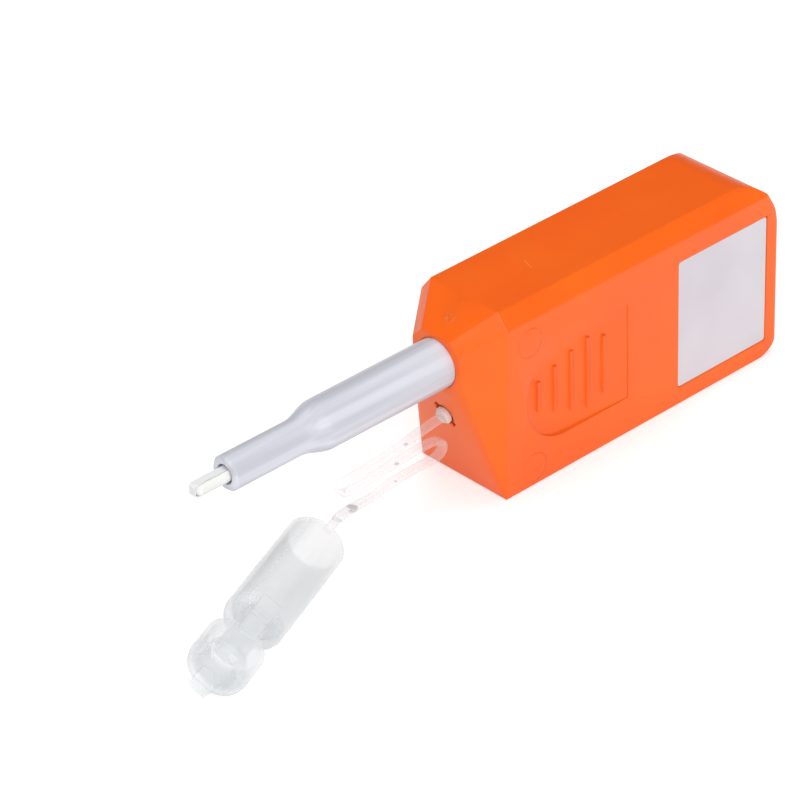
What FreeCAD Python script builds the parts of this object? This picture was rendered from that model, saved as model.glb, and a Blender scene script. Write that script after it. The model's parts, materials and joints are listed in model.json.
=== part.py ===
import FreeCAD, Part
import Sketcher
import math
import os
import re

# Push-type cleaning pen for 2.5 mm fibre connectors, with its tethered guide cap.
# X runs along the pen with the tip towards -X, Z is up, and the origin is the
# middle of the flat underside of the housing. Lengths are in millimetres.

doc = FreeCAD.newDocument("cleaning_pen")
dims = doc.addObject("Spreadsheet::Sheet", "dims")

sizes = {
    # housing, two moulded halves that meet at y = 0
    "front_x": -33.0, "body_len": 64.75, "body_wide": 18.4, "body_high": 31.6, "wall": 1.7,
    "top_run": 5.9, "face_up": 4.7, "face_down": 4.5, "low_run": 5.0,
    "facet_run": 6.1, "face_wide": 10.0, "cavity_start": 6.7,
    "strip_in": 2.0, "strip_down": 2.7, "front_strip": 1.8, "low_strip": 0.9,
    "rear_round": 4.4, "edge_round": 1.2,
    # finger grip in each side
    "grip_x": 17.8, "grip_drop": 7.9, "grip_r": 8.3, "grip_end": 31.0,
    "grip_fade": 33.5, "grip_deep": 0.9,
    "bar_first": 12.6, "bar_pitch": 3.33, "bar_wide": 0.6, "bar_high": 0.35,
    "bar_half_a": 2.6, "bar_half_b": 4.0, "bar_half_c": 5.2, "bar_half_d": 6.2, "bar_half_e": 5.1,
    # label and its recess
    "label_in": 3.0, "label_low": 2.9, "label_long": 19.75, "label_top_in": 6.2,
    "label_deep": 0.35, "label_thick": 0.25, "label_corner": 0.5, "label_gap": 0.12,
    # joining bosses and pins
    "boss_r": 2.0, "pin_r": 0.9, "pin_long": 4.0, "pin_end_gap": 0.6, "fit_gap": 0.05,
    # how far a cutting outline starts outside the material
    "past": 1.0,
    "boss_front_x": 10.4, "boss_mid_in": 7.5, "boss_rear_in": 4.6, "boss_low": 4.0, "boss_up": 5.1,
    # sliding nose
    "nose_r": 4.0, "nose_gap": 0.08, "nose_rear": 13.3, "nose_tip": 41.3,
    "taper_start": 23.2, "taper_end": 28.2, "thin_r": 2.8, "thin_bore": 2.1, "lip_bore": 1.6,
    "lip_long": 1.0, "mid_bore": 2.4, "rear_bore": 3.1, "rear_bore_x": 2.0, "nose_round": 0.4,
    "guide_end": 10.0, "guide_r": 5.4, "travel": 8.0,
    # slider behind the nose, with its rack
    "slider_start": 10.3, "slider_end": 14.3, "slider_r": 5.2, "slider_bore": 2.35,
    "wing_y": 6.9, "wing_thick": 1.6, "rail_gap": 0.3, "rail_thick": 0.8, "rail_y": 5.8,
    "rail_start": 10.3, "rail_end": 24.5,
    "arm_y": 3.3, "arm_thick": 1.8, "arm_drop": 2.9, "arm_end": 31.3, "arm_start": 12.0,
    # gearing
    "gear_module": 0.8, "pinion_teeth": 18, "addendum": 0.62, "dedendum": 0.85, "backlash": 0.16,
    "takeup_x": 26.0, "takeup_post": 1.6, "socket_wall": 1.1, "reel_play": 0.3, "post_past": 1.8,
    "post_bore_deep": 3.0, "shoulder_play": 0.15,
    "shaft_gap": 0.06, "rack_drop": 5.0, "floor_share": 0.38889,
    "clutch_r": 5.7, "clutch_deep": 1.1, "clutch_teeth": 16, "clutch_wheel": 4.4, "clutch_depth": 0.45,
    # reels and tape
    "tape_wide": 1.3, "tape_thick": 0.2, "reel_gap": 1.6, "flange_thick": 0.7,
    "takeup_flange": 7.2, "takeup_hub": 3.0, "used_r": 4.6, "click_teeth": 30, "click_depth": 0.4,
    "supply_in": 14.25, "supply_gap": 0.8, "supply_post": 2.2, "supply_flange": 9.7, "supply_hub": 3.4,
    "roll_r": 8.6, "roll_gap": 0.04, "window_r": 1.7, "window_at": 6.2, "window_count": 5,
    "washer_r": 4.3, "washer_thick": 0.5, "shoulder_r": 4.6, "guide_reach": 1.6,
    # click spring, measured from the take-up reel's axis and the inside of the floor
    "anchor_in": 9.2, "anchor_out": 12.0, "anchor_high": 2.6, "anchor_back": 0.9, "slot_in": 8.9,
    "slot_end": 11.0, "slot_high": 1.55, "slot_low": 0.65, "slot_wide": 0.4, "leaf_end": 10.9,
    "leaf_low": 0.75, "leaf_thick": 0.2, "leaf_bend": 8.55, "leaf_bend_high": 1.7, "leaf_bend_thick": 0.26,
    "leaf_tip": 5.95, "leaf_tip_high": 4.3,
    "guide_post": 1.5, "guide_a_in": 7.0, "guide_a_up": 2.4, "guide_b_in": 8.9, "guide_b_down": 1.9,
    # spindle, tip and springs
    "spindle_rear": 31.0, "spindle_r": 2.2, "spindle_front": 36.5, "spindle_thin": 1.85,
    "spindle_bore": 1.0, "collar_r": 2.95, "collar_long": 1.15,
    "rib_x": 28.3, "rib_thick": 1.5, "rib_drop": 2.6, "rib_gap": 0.08,
    "cam_pitch": 16.0, "cam_wide": 1.75, "cam_deep": 0.5, "cam_pin_r": 0.42, "cam_run": 11.0,
    "cam_pin_long": 3.2, "cam_bore_deep": 3.4, "cam_pin_gap": 0.08, "cam_over": 0.4, "cam_exit": 3.0,
    "tip_end": 47.5, "tip_r": 1.25, "tip_rear": 37.0, "shank_long": 3.5, "tape_slot": 1.4,
    "tip_flat": 0.45, "tip_shoulder": 0.9, "tip_full": 1.15, "small_chamfer": 0.3, "press": 0.02,
    "ramp_start": 1.6, "ramp_end": 0.3, "loop_nose": 0.15, "loop_round": 0.35, "loop_side": 0.55,
    "slot_floor": 0.82, "slot_inner": 0.36, "leg_out": 1.06, "leg_in": 0.62,
    "return_r": 3.2, "return_wire": 0.3, "return_turns": 7,
    "tip_spring_r": 2.62, "tip_spring_wire": 0.18, "tip_spring_turns": 9, "end_gap": 0.05,
    # guide cap, measured along its own axis from the open end
    "cap_r": 4.7, "cap_bore": 4.15, "cap_long": 21.9, "cap_wall": 1.1, "cap_round": 0.9,
    "neck_r": 2.3, "neck_bore": 1.28, "neck_long": 7.4, "neck_mouth": 0.5,
    "lid_gap": 5.7, "lid_deep": 6.8, "lid_wall": 0.7, "lid_round": 1.7, "lid_tube_r": 3.1,
    "lid_tube_bore": 2.55, "lid_tube_long": 4.4, "tab_wide": 3.3, "tab_rise": 0.4, "tab_top": 0.1,
    "tab_low": 2.8, "bar_long": 3.1, "bar_out": 0.2, "bar_sink": 0.35,
    "hinge_out": 0.25, "hinge_wide": 3.0, "hinge_thick": 0.35, "hinge_half": 0.5, "arm_deep": 0.75,
    "cap_x": -60.23, "cap_y": -2.35, "cap_turn": 203.9, "cap_roll": 37.0, "cap_pitch": 0.95,
    # tether
    "plug_high": 12.8, "plug_r": 1.45, "plug_head": 0.8, "plug_shaft": 0.95, "plug_hole": 1.75,
    "plug_bar": 2.3, "plug_bar_half": 0.55, "plug_foot": 1.3, "strap_wide": 1.7,
    "lug_long": 2.4, "lug_wide": 1.3, "lug_thick": 0.9,
}
# sizes that follow from the ones above
derived = {
    "gear_r": "gear_module * pinion_teeth / 2",
    "gear_stack": "takeup_flange + gear_r + rack_drop + slider_r",
    "takeup_z": "wall + floor_share * (body_high - 2 * wall - gear_stack) + takeup_flange",
    "axis_high": "takeup_z + gear_r + rack_drop",
    "arm_top": "axis_high - arm_drop",
    "rib_low": "axis_high - rib_drop",
    "supply_x": "body_len - supply_in",
    "supply_z": "wall + supply_gap + supply_flange",
    "guide_a_x": "supply_x - guide_a_in",
    "guide_a_z": "axis_high + guide_a_up",
    "guide_b_x": "supply_x - guide_b_in",
    "guide_b_z": "axis_high - guide_b_down",
    "boss_mid_x": "guide_a_x - boss_mid_in",
    "boss_rear_x": "body_len - boss_rear_in",
    "boss_top": "axis_high + boss_up",
    "label_x": "body_len - label_in - label_long",
    "label_high": "body_high - label_top_in - label_low",
    "neck_end": "cap_long + neck_long",
    "lid_start": "cap_long + lid_gap",
    "lid_end": "lid_start + lid_deep",
    "lid_tube_start": "lid_end - lid_tube_long",
    "hinge_at": "(cap_long + lid_start) / 2",
}
for row, (word, number) in enumerate(sizes.items(), start=1):
    dims.set("A%d" % row, word)
    dims.set("B%d" % row, repr(number))
    dims.setAlias("B%d" % row, word)
doc.recompute()

parts = []
plane_sign = {"XY_Plane": 1, "XZ_Plane": -1, "YZ_Plane": 1}
word_pattern = re.compile(r"[a-z][a-z_]*[a-z]")


def spell(text):
    # writes each derived word out as its own formula
    while any(word in derived for word in word_pattern.findall(text)):
        text = word_pattern.sub(
            lambda hit: "(%s)" % derived[hit.group(0)] if hit.group(0) in derived else hit.group(0), text)
    return text


def num(text):
    return float(dims.evalExpression(spell(text)))


def bind(thing, prop, text):
    thing.setExpression(prop, word_pattern.sub(
        lambda hit: "dims." + hit.group(0) if hit.group(0) in sizes else hit.group(0), spell(text)))


# ---- sketch and feature helpers ----

def new_body(label):
    body = doc.addObject("PartDesign::Body", label)
    body.Label = label
    parts.append(body)
    return body


def sketch_on(body, name, role, at="0"):
    plane = [item for item in body.Origin.OriginFeatures if item.Role == role][0]
    sketch = body.newObject("Sketcher::SketchObject", name)
    sketch.AttachmentSupport = [(plane, "")]
    sketch.MapMode = "FlatFace"
    if at != "0":
        bind(sketch, "AttachmentOffset.Base.z", "%d * (%s)" % (plane_sign[role], at))
    return sketch


def tie(sketch, kind, refs, text, name):
    index = sketch.addConstraint(Sketcher.Constraint(kind, *refs, num(text)))
    sketch.renameConstraint(index, name)
    bind(sketch, "Constraints." + name, text)


def place_point(sketch, geometry, point, across, up, name):
    tie(sketch, "DistanceX", (-1, 1, geometry, point), across, name + "_across")
    tie(sketch, "DistanceY", (-1, 1, geometry, point), up, name + "_up")


def polygon(sketch, points):
    spots = [FreeCAD.Vector(num(across), num(up), 0) for across, up in points]
    first = sketch.GeometryCount
    count = len(points)
    for k in range(count):
        sketch.addGeometry(Part.LineSegment(spots[k], spots[(k + 1) % count]), False)
    for k in range(count):
        sketch.addConstraint(Sketcher.Constraint("Coincident", first + k, 2, first + (k + 1) % count, 1))
    for k, (across, up) in enumerate(points):
        place_point(sketch, first + k, 1, across, up, "p%d_%d" % (first, k))
    return sketch


def rectangle(sketch, left, right, low, high):
    return polygon(sketch, [(left, low), (right, low), (right, high), (left, high)])


def corner(sketch, across, up, radius, along, above):
    # the sliver outside a quarter circle, which a cut removes to round a corner
    middle = FreeCAD.Vector(num(across), num(up), 0)
    reach = num(radius)
    top_end = middle + FreeCAD.Vector(0, above * reach, 0)
    side_end = middle + FreeCAD.Vector(along * reach, 0, 0)
    tip = middle + FreeCAD.Vector(along * reach, above * reach, 0)
    start = 0 if above * along > 0 else (math.pi / 2 if above > 0 else -math.pi / 2)
    ring = Part.Circle(middle, FreeCAD.Vector(0, 0, 1), reach)
    first = sketch.addGeometry(Part.ArcOfCircle(ring, start, start + math.pi / 2), False)
    arc_start, arc_end = (side_end, top_end) if above * along > 0 else (top_end, side_end)
    sketch.addGeometry(Part.LineSegment(arc_end, tip), False)
    sketch.addGeometry(Part.LineSegment(tip, arc_start), False)
    for one, one_end, two, two_end in ((first, 2, first + 1, 1), (first + 1, 2, first + 2, 1),
                                       (first + 2, 2, first, 1)):
        sketch.addConstraint(Sketcher.Constraint("Coincident", one, one_end, two, two_end))
    place_point(sketch, first, 3, across, up, "round%d" % first)
    tie(sketch, "Radius", (first,), radius, "round_r%d" % first)
    top_point, side_point = (2, 1) if above * along > 0 else (1, 2)
    tie(sketch, "DistanceX", (-1, 1, first, top_point), across, "round_top%d" % first)
    tie(sketch, "DistanceY", (-1, 1, first, side_point), up, "round_side%d" % first)
    place_point(sketch, first + 1, 2, "%s + %d * %s" % (across, along, radius),
                "%s + %d * %s" % (up, above, radius), "round_tip%d" % first)
    return sketch


def circle(sketch, across, up, radius):
    index = sketch.addGeometry(Part.Circle(FreeCAD.Vector(num(across), num(up), 0),
                                           FreeCAD.Vector(0, 0, 1), num(radius)), False)
    place_point(sketch, index, 3, across, up, "c%d" % index)
    tie(sketch, "Radius", (index,), radius, "r%d" % index)
    return sketch


def grow(body, kind, sketch, length, toward, name):
    feature = body.newObject("PartDesign::" + kind, name)
    feature.Profile = sketch
    if length == "all":
        feature.Type = "ThroughAll"
    else:
        bind(feature, "Length", length)
    feature.Reversed = (toward < 0) if kind == "Pad" else (toward > 0)
    sketch.Visibility = False
    return feature


def pad(body, sketch, length, toward, name="Pad"):
    return grow(body, "Pad", sketch, length, toward, name)


def pocket(body, sketch, length, toward, name="Pocket"):
    doc.recompute()
    before = body.Shape.Volume
    feature = grow(body, "Pocket", sketch, length, toward, name)
    doc.recompute()
    if not body.Shape.Volume < before - 1e-6:
        raise ValueError("pocket %s of %s cuts nothing" % (name, body.Label))
    return feature


def turn(body, sketch, axis, name="Turned", kind="Revolution"):
    feature = body.newObject("PartDesign::" + kind, name)
    feature.Profile = sketch
    feature.ReferenceAxis = (sketch, [axis])
    feature.Angle = 360
    return feature


def edges_where(shape, test):
    return ["Edge%d" % (k + 1) for k, edge in enumerate(shape.Edges)
            if all(test(vertex.Point) for vertex in edge.Vertexes)]


def dress(body, kind, names, prop, text, name):
    if not names:
        raise ValueError("no edge for %s of %s" % (name, body.Label))
    last = body.Tip
    feature = body.newObject("PartDesign::" + kind, name)
    feature.Base = (last, names)
    bind(feature, prop, text)
    return feature


def seat(item, x="0", y="0", z="0"):
    for letter, text in zip("xyz", (x, y, z)):
        if text != "0":
            bind(item, "Placement.Base." + letter, text)


def near(one, two):
    return abs(one - two) < 1e-4


# ---- housing halves ----

half = "body_wide / 2"
top_line = "axis_high + face_up"
low_line = "axis_high - face_down"
slope_angle = "atan(low_run / (axis_high - face_down))"
plug_x = "front_x + low_run * (1 - plug_high / (axis_high - face_down))"


def on_facet(point, side):
    run = (point.x - num("front_x")) / num("facet_run")
    return near(point.y * side, num("face_wide / 2") + run * num("(body_wide - face_wide) / 2"))


def on_upper_slope(point):
    rise = (point.x - num("front_x")) / num("top_run")
    return near(point.z, num(top_line) + rise * (num("body_high") - num(top_line)))


def on_lower_slope(point):
    return near(point.z, num(low_line) * (1 - (point.x - num("front_x")) / num("low_run")))


def grip(body, side):
    # a D-shaped thumb recess whose floor rises to nothing at its rear end, with five bars
    def floor_sketch(name):
        sketch = sketch_on(body, name, "XZ_Plane", "%d * %s" % (side, half))
        sketch.AttachmentOffset = FreeCAD.Placement(
            FreeCAD.Vector(0, 0, 0), FreeCAD.Rotation(FreeCAD.Vector(0, side, 0), 2))
        bind(sketch, "AttachmentOffset.Base.x", "front_x + grip_fade")
        bind(sketch, "AttachmentOffset.Base.y", "axis_high - grip_drop")
        bind(sketch, "AttachmentOffset.Base.z", "%d * %s" % (-side, half))
        bind(sketch, "AttachmentOffset.Rotation.Angle",
             "atan(grip_deep / (grip_fade - grip_x + grip_r))")
        return sketch

    sketch = floor_sketch("grip_outline")
    centre, end, radius = num("grip_x - grip_fade"), num("grip_end - grip_fade"), num("grip_r")
    up = FreeCAD.Vector(0, 0, 1)
    middle = FreeCAD.Vector(centre, 0, 0)
    arc = Part.ArcOfCircle(Part.Circle(middle, up, radius), math.pi / 2, 3 * math.pi / 2)
    corners = [FreeCAD.Vector(centre, -radius, 0), FreeCAD.Vector(end, -radius, 0),
               FreeCAD.Vector(end, radius, 0), FreeCAD.Vector(centre, radius, 0)]
    sketch.addGeometry(arc, False)
    for k in range(3):
        sketch.addGeometry(Part.LineSegment(corners[k], corners[k + 1]), False)
    for first, first_end, second, second_end in ((0, 2, 1, 1), (1, 2, 2, 1), (2, 2, 3, 1), (3, 2, 0, 1)):
        sketch.addConstraint(Sketcher.Constraint("Coincident", first, first_end, second, second_end))
    sketch.addConstraint(Sketcher.Constraint("Horizontal", 1))
    sketch.addConstraint(Sketcher.Constraint("Horizontal", 3))
    place_point(sketch, 0, 3, "grip_x - grip_fade", "0", "arc_centre")
    tie(sketch, "Radius", (0,), "grip_r", "arc_radius")
    tie(sketch, "DistanceX", (-1, 1, 0, 1), "grip_x - grip_fade", "arc_start")
    tie(sketch, "DistanceX", (-1, 1, 0, 2), "grip_x - grip_fade", "arc_finish")
    tie(sketch, "DistanceX", (-1, 1, 2, 1), "grip_end - grip_fade", "right_low")
    tie(sketch, "DistanceX", (-1, 1, 2, 2), "grip_end - grip_fade", "right_high")
    pocket(body, sketch, "wall", -side, "grip_recess")

    bars = floor_sketch("grip_bars_outline")
    for k, letter in enumerate("abcde"):
        spot = "bar_first + %d * bar_pitch - grip_fade" % k
        reach = "bar_half_%s" % letter
        rectangle(bars, spot + " - bar_wide / 2", spot + " + bar_wide / 2", "-" + reach, reach)
    pad(body, bars, "bar_high", -side, "grip_bars")


def half_shell(label, side):
    body = new_body(label)
    profile = sketch_on(body, "side_outline", "XZ_Plane")
    polygon(profile, [("front_x + low_run", "0"), ("front_x + body_len", "0"),
                      ("front_x + body_len", "body_high"), ("front_x + top_run", "body_high"),
                      ("front_x", top_line), ("front_x", low_line)])
    pad(body, profile, half, -side, "outer_form")

    plan = sketch_on(body, "front_facet_outline", "XY_Plane")
    slope = "(body_wide - face_wide) / 2 / facet_run"
    polygon(plan, [("front_x - past", "%d * (face_wide / 2 - %s)" % (side, slope)),
                   ("front_x + facet_run + past", "%d * (%s + %s)" % (side, half, slope)),
                   ("front_x - past", "%d * (%s + %s)" % (side, half, slope))])
    pocket(body, plan, "all", 1, "front_facet")

    section = sketch_on(body, "top_strip_outline", "YZ_Plane", "front_x - past")
    polygon(section, [("%d * (%s - strip_in)" % (side, half), "body_high"),
                      ("%d * %s" % (side, half), "body_high - strip_down"),
                      ("%d * (%s + strip_in)" % (side, half), "body_high"),
                      ("%d * %s" % (side, half), "body_high + strip_down")])
    pocket(body, section, "all", 1, "top_strip")

    for on_slope, strip_size in ((on_upper_slope, "front_strip"), (on_lower_slope, "low_strip")):
        doc.recompute()
        names = edges_where(body.Shape, lambda point: on_facet(point, side) and on_slope(point))
        dress(body, "Chamfer", names, "Size", strip_size, strip_size + "_cut")
    doc.recompute()
    rear = "front_x + body_len"
    side_corners = sketch_on(body, "rear_round_outline", "XZ_Plane")
    corner(side_corners, "%s - rear_round" % rear, "rear_round", "rear_round", 1, -1)
    corner(side_corners, "%s - rear_round" % rear, "body_high - rear_round", "rear_round", 1, 1)
    pocket(body, side_corners, "all", -side, "rear_rounds")
    plan_corner = sketch_on(body, "rear_edge_outline", "XY_Plane")
    corner(plan_corner, "%s - edge_round" % rear, "%d * (%s - edge_round)" % (side, half),
           "edge_round", 1, side)
    pocket(body, plan_corner, "all", 1, "rear_edge_round")

    # cavity, in three steps that follow the slopes, the side wall and the top strip
    high = "body_high - wall"
    lean = "atan(top_run / (body_high - %s))" % top_line
    front = sketch_on(body, "front_cavity_outline", "XZ_Plane")
    polygon(front, [
        ("front_x + low_run * (1 - wall / (%s)) + wall / cos(%s)" % (low_line, slope_angle), "wall"),
        ("front_x + cavity_start", "wall"), ("front_x + cavity_start", high),
        ("front_x + top_run * (1 - wall / (body_high - (%s))) + wall / cos(%s)" % (top_line, lean), high),
        ("front_x + wall", "%s - wall * tan(%s / 2)" % (top_line, lean)),
        ("front_x + wall", "%s + wall * tan(%s / 2)" % (low_line, slope_angle))])
    pocket(body, front, "face_wide / 2 - wall", -side, "front_cavity")
    main = sketch_on(body, "main_cavity_outline", "XZ_Plane")
    cut_corner = "rear_round * 0.4"
    inner_end = "%s - wall" % rear
    for outline, ceiling, reach, name in (
            (main, "%s - strip_down * 0.6" % high, "%s - wall" % half, "main_cavity"),
            (sketch_on(body, "top_cavity_outline", "XZ_Plane"), high,
             "%s - wall - strip_in * 0.7" % half, "top_cavity")):
        polygon(outline, [("front_x + cavity_start", "wall"), ("%s - %s" % (inner_end, cut_corner), "wall"),
                          (inner_end, "wall + %s" % cut_corner),
                          (inner_end, "%s - %s" % (high, cut_corner)),
                          ("%s - %s + (%s) - (%s)" % (inner_end, cut_corner, high, ceiling), ceiling),
                          ("front_x + cavity_start", ceiling)])
        pocket(body, outline, reach, -side, name)
    return body


def on_wall(body, name, spots, radius, wall_side, reach):
    # round bosses that stand on a side wall and reach in to the plane y = reach
    outlines = sketch_on(body, name + "_outline", "XZ_Plane", "%d * (%s - wall / 2)" % (wall_side, half))
    for across, up in spots:
        circle(outlines, across, up, radius)
    return pad(body, outlines, "abs(%d * (%s - wall / 2) - (%s))" % (wall_side, half, reach), wall_side, name)


def furnish(body, side):
    # nose guide, spindle rib, slider rails
    collar = sketch_on(body, "guide_outline", "YZ_Plane", "front_x + 1.2")
    circle(collar, "0", "axis_high", "guide_r")
    pad(body, collar, "guide_end - 1.2", 1, "guide_collar")
    inset = "wall * 0.6"
    rib = sketch_on(body, "rib_outline", "YZ_Plane", "front_x + rib_x")
    polygon(rib, [("0", "rib_low"), ("%d * (%s - %s)" % (side, half, inset), "rib_low"),
                  ("%d * (%s - %s)" % (side, half, inset), "body_high - strip_down - %s" % inset),
                  ("%d * (%s - strip_in - %s)" % (side, half, inset), "body_high - %s" % inset),
                  ("0", "body_high - %s" % inset)])
    pad(body, rib, "rib_thick", 1, "spindle_rib")
    rails = sketch_on(body, "rail_outline", "YZ_Plane", "front_x + rail_start")
    for place in (1, -1):
        edge = "axis_high + %d * (wing_thick / 2 + rail_gap)" % place
        far_edge = "%s + %d * rail_thick" % (edge, place)
        rectangle(rails, "%d * rail_y" % side, "%d * (%s - wall / 2)" % (side, half), edge, far_edge)
    pad(body, rails, "rail_end - rail_start", 1, "slider_rails")


def open_bores(body, side):
    bore = sketch_on(body, "nose_bore_outline", "YZ_Plane", "front_x - past")
    circle(bore, "0", "axis_high", "nose_r + nose_gap")
    pocket(body, bore, "guide_end + 2 * past", 1, "nose_bore")
    rib_bore = sketch_on(body, "rib_bore_outline", "YZ_Plane", "front_x + rib_x - past")
    circle(rib_bore, "0", "axis_high", "spindle_r + rib_gap")
    pocket(body, rib_bore, "rib_thick + 2 * past", 1, "spindle_bore")
    # keyed hole for the tether plug, square to the lower front slope
    hole = sketch_on(body, "plug_hole_outline", "YZ_Plane", "0")
    hole.AttachmentOffset = FreeCAD.Placement(
        FreeCAD.Vector(0, 0, 0), FreeCAD.Rotation(FreeCAD.Vector(-1, 0, 0), 15))
    bind(hole, "AttachmentOffset.Base.y", "plug_high")
    bind(hole, "AttachmentOffset.Base.z", plug_x)
    bind(hole, "AttachmentOffset.Rotation.Angle", slope_angle)
    circle(hole, "0", "0", "plug_hole")
    pocket(body, hole, "wall * 2", 1, "plug_hole")
    key = sketch_on(body, "plug_key_outline", "YZ_Plane", "0")
    key.AttachmentOffset = hole.AttachmentOffset
    bind(key, "AttachmentOffset.Base.y", "plug_high")
    bind(key, "AttachmentOffset.Base.z", plug_x)
    bind(key, "AttachmentOffset.Rotation.Angle", slope_angle)
    turned = "sqrt(0.5)"
    corners = []
    for across, up in ((1, 1), (1, -1), (-1, -1), (-1, 1)):
        long_part = "%d * plug_bar" % across
        wide_part = "%d * plug_bar_half" % up
        corners.append(("%s * (%s + %s)" % (turned, long_part, wide_part),
                        "%s * (%s - %s)" % (turned, long_part, wide_part)))
    polygon(key, corners)
    pocket(body, key, "wall * 2", 1, "plug_key")


def trim_at_split(body, side):
    cut = sketch_on(body, "split_outline", "XZ_Plane")
    rectangle(cut, "front_x - past", "front_x + body_len + past", "-past", "body_high + past")
    pocket(body, cut, "all", side, "split_trim")


boss_spots = [("front_x + boss_front_x", "boss_low"), ("front_x + boss_rear_x", "boss_low"),
              ("front_x + boss_rear_x", "boss_top"), ("front_x + boss_mid_x", "boss_top")]
takeup_spot = [("front_x + takeup_x", "takeup_z")]
supply_spot = [("front_x + supply_x", "supply_z")]
guide_spots = [("front_x + guide_a_x", "guide_a_z"), ("front_x + guide_b_x", "guide_b_z")]
reel_side = "reel_gap / 2 + flange_thick"

near_half = half_shell("housing_near", -1)
furnish(near_half, -1)
on_wall(near_half, "bosses", boss_spots, "boss_r", -1, "0")
socket_end = "-(%s + reel_play)" % reel_side
on_wall(near_half, "takeup_socket", takeup_spot, "takeup_post + socket_wall", -1, socket_end)
on_wall(near_half, "supply_socket", supply_spot, "supply_post + socket_wall", -1, socket_end)
anchor = sketch_on(near_half, "anchor_outline", "XZ_Plane", "-(%s - wall / 2)" % half)
rectangle(anchor, "front_x + takeup_x + anchor_in", "front_x + takeup_x + anchor_out",
          "wall / 2", "wall + anchor_high")
pad(near_half, anchor, "%s - wall / 2 - anchor_back" % half, -1, "click_anchor")
open_bores(near_half, -1)
trim_at_split(near_half, -1)
sockets = sketch_on(near_half, "socket_bores_outline", "XZ_Plane")
for across, up in boss_spots:
    circle(sockets, across, up, "pin_r + fit_gap")
pocket(near_half, sockets, "pin_long + pin_end_gap", 1, "pin_sockets")
post_bores = sketch_on(near_half, "post_bores_outline", "XZ_Plane", "-(%s)" % reel_side)
circle(post_bores, takeup_spot[0][0], takeup_spot[0][1], "takeup_post + fit_gap")
circle(post_bores, supply_spot[0][0], supply_spot[0][1], "supply_post + fit_gap")
pocket(near_half, post_bores, "post_bore_deep", 1, "post_bores")
slot = sketch_on(near_half, "anchor_slot_outline", "XZ_Plane", "-0.5")
polygon(slot, [("front_x + takeup_x + slot_in", "wall + slot_high"),
               ("front_x + takeup_x + slot_end", "wall + slot_low"),
               ("front_x + takeup_x + slot_end", "wall + slot_low + slot_wide"),
               ("front_x + takeup_x + slot_in", "wall + slot_high + slot_wide")])
pocket(near_half, slot, "2", 1, "anchor_slot")
grip(near_half, -1)
recess = sketch_on(near_half, "label_recess_outline", "XZ_Plane", "-" + half)
rectangle(recess, "front_x + label_x", "front_x + label_x + label_long",
          "label_low", "label_low + label_high")
pocket(near_half, recess, "label_deep", -1, "label_recess")

far_half = half_shell("housing_far", 1)
furnish(far_half, 1)
on_wall(far_half, "bosses", boss_spots, "boss_r", 1, "0")
on_wall(far_half, "takeup_shoulder", takeup_spot, "takeup_post + socket_wall", 1,
        "arm_y + arm_thick + shoulder_play")
on_wall(far_half, "supply_shoulder", supply_spot, "shoulder_r", 1,
        "%s + washer_thick + 2 * fit_gap" % reel_side)
open_bores(far_half, 1)
trim_at_split(far_half, 1)
on_wall(far_half, "takeup_post", takeup_spot, "takeup_post", 1, "-(%s + post_past)" % reel_side)
on_wall(far_half, "supply_post", supply_spot, "supply_post", 1, "-(%s + post_past)" % reel_side)
on_wall(far_half, "tape_guides", guide_spots, "guide_post", 1, "-guide_reach")
on_wall(far_half, "joining_pins", boss_spots, "pin_r", 1, "-pin_long")
cam_bore = sketch_on(far_half, "cam_bore_outline", "XZ_Plane", "spindle_r - cam_deep")
circle(cam_bore, "front_x + rib_x + rib_thick / 2", "axis_high", "cam_pin_r")
pocket(far_half, cam_bore, "cam_bore_deep", -1, "cam_pin_bore")
grip(far_half, 1)


# ---- label ----

label = new_body("label_plate")
blank = sketch_on(label, "label_outline", "XZ_Plane", "-(%s - label_deep)" % half)
rectangle(blank, "front_x + label_x + label_gap", "front_x + label_x + label_long - label_gap",
          "label_low + label_gap", "label_low + label_high - label_gap")
pad(label, blank, "label_thick", 1, "plate")
doc.recompute()
corner_edges = ["Edge%d" % (k + 1) for k, edge in enumerate(label.Shape.Edges)
                if near(edge.BoundBox.YLength, num("label_thick"))]
dress(label, "Fillet", corner_edges, "Radius", "label_corner", "plate_corners")


# ---- sliding nose ----

nose = new_body("nose_sleeve")
axis = "front_x"
profile = sketch_on(nose, "sleeve_profile", "XZ_Plane")
polygon(profile, [
    ("front_x - nose_tip", "lip_bore"), ("front_x - nose_tip", "thin_r - nose_round"),
    ("front_x - nose_tip + nose_round", "thin_r"), ("front_x - taper_end", "thin_r"),
    ("front_x - taper_end * 0.85 - taper_start * 0.15", "thin_r + (nose_r - thin_r) * 0.06"),
    ("front_x - taper_end * 0.62 - taper_start * 0.38", "thin_r + (nose_r - thin_r) * 0.33"),
    ("front_x - taper_end * 0.38 - taper_start * 0.62", "thin_r + (nose_r - thin_r) * 0.67"),
    ("front_x - taper_end * 0.15 - taper_start * 0.85", "nose_r - (nose_r - thin_r) * 0.06"),
    ("front_x - taper_start", "nose_r"), ("front_x + nose_rear", "nose_r"),
    ("front_x + nose_rear", "rear_bore"), ("front_x + rear_bore_x", "rear_bore"),
    ("front_x + rear_bore_x", "mid_bore"), ("front_x - taper_start", "mid_bore"),
    ("front_x - taper_start", "thin_bore"), ("front_x - nose_tip + lip_long", "thin_bore"),
    ("front_x - nose_tip + lip_long", "lip_bore")])
turn(nose, profile, "H_Axis", "sleeve")
seat(nose, z="axis_high")

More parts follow.
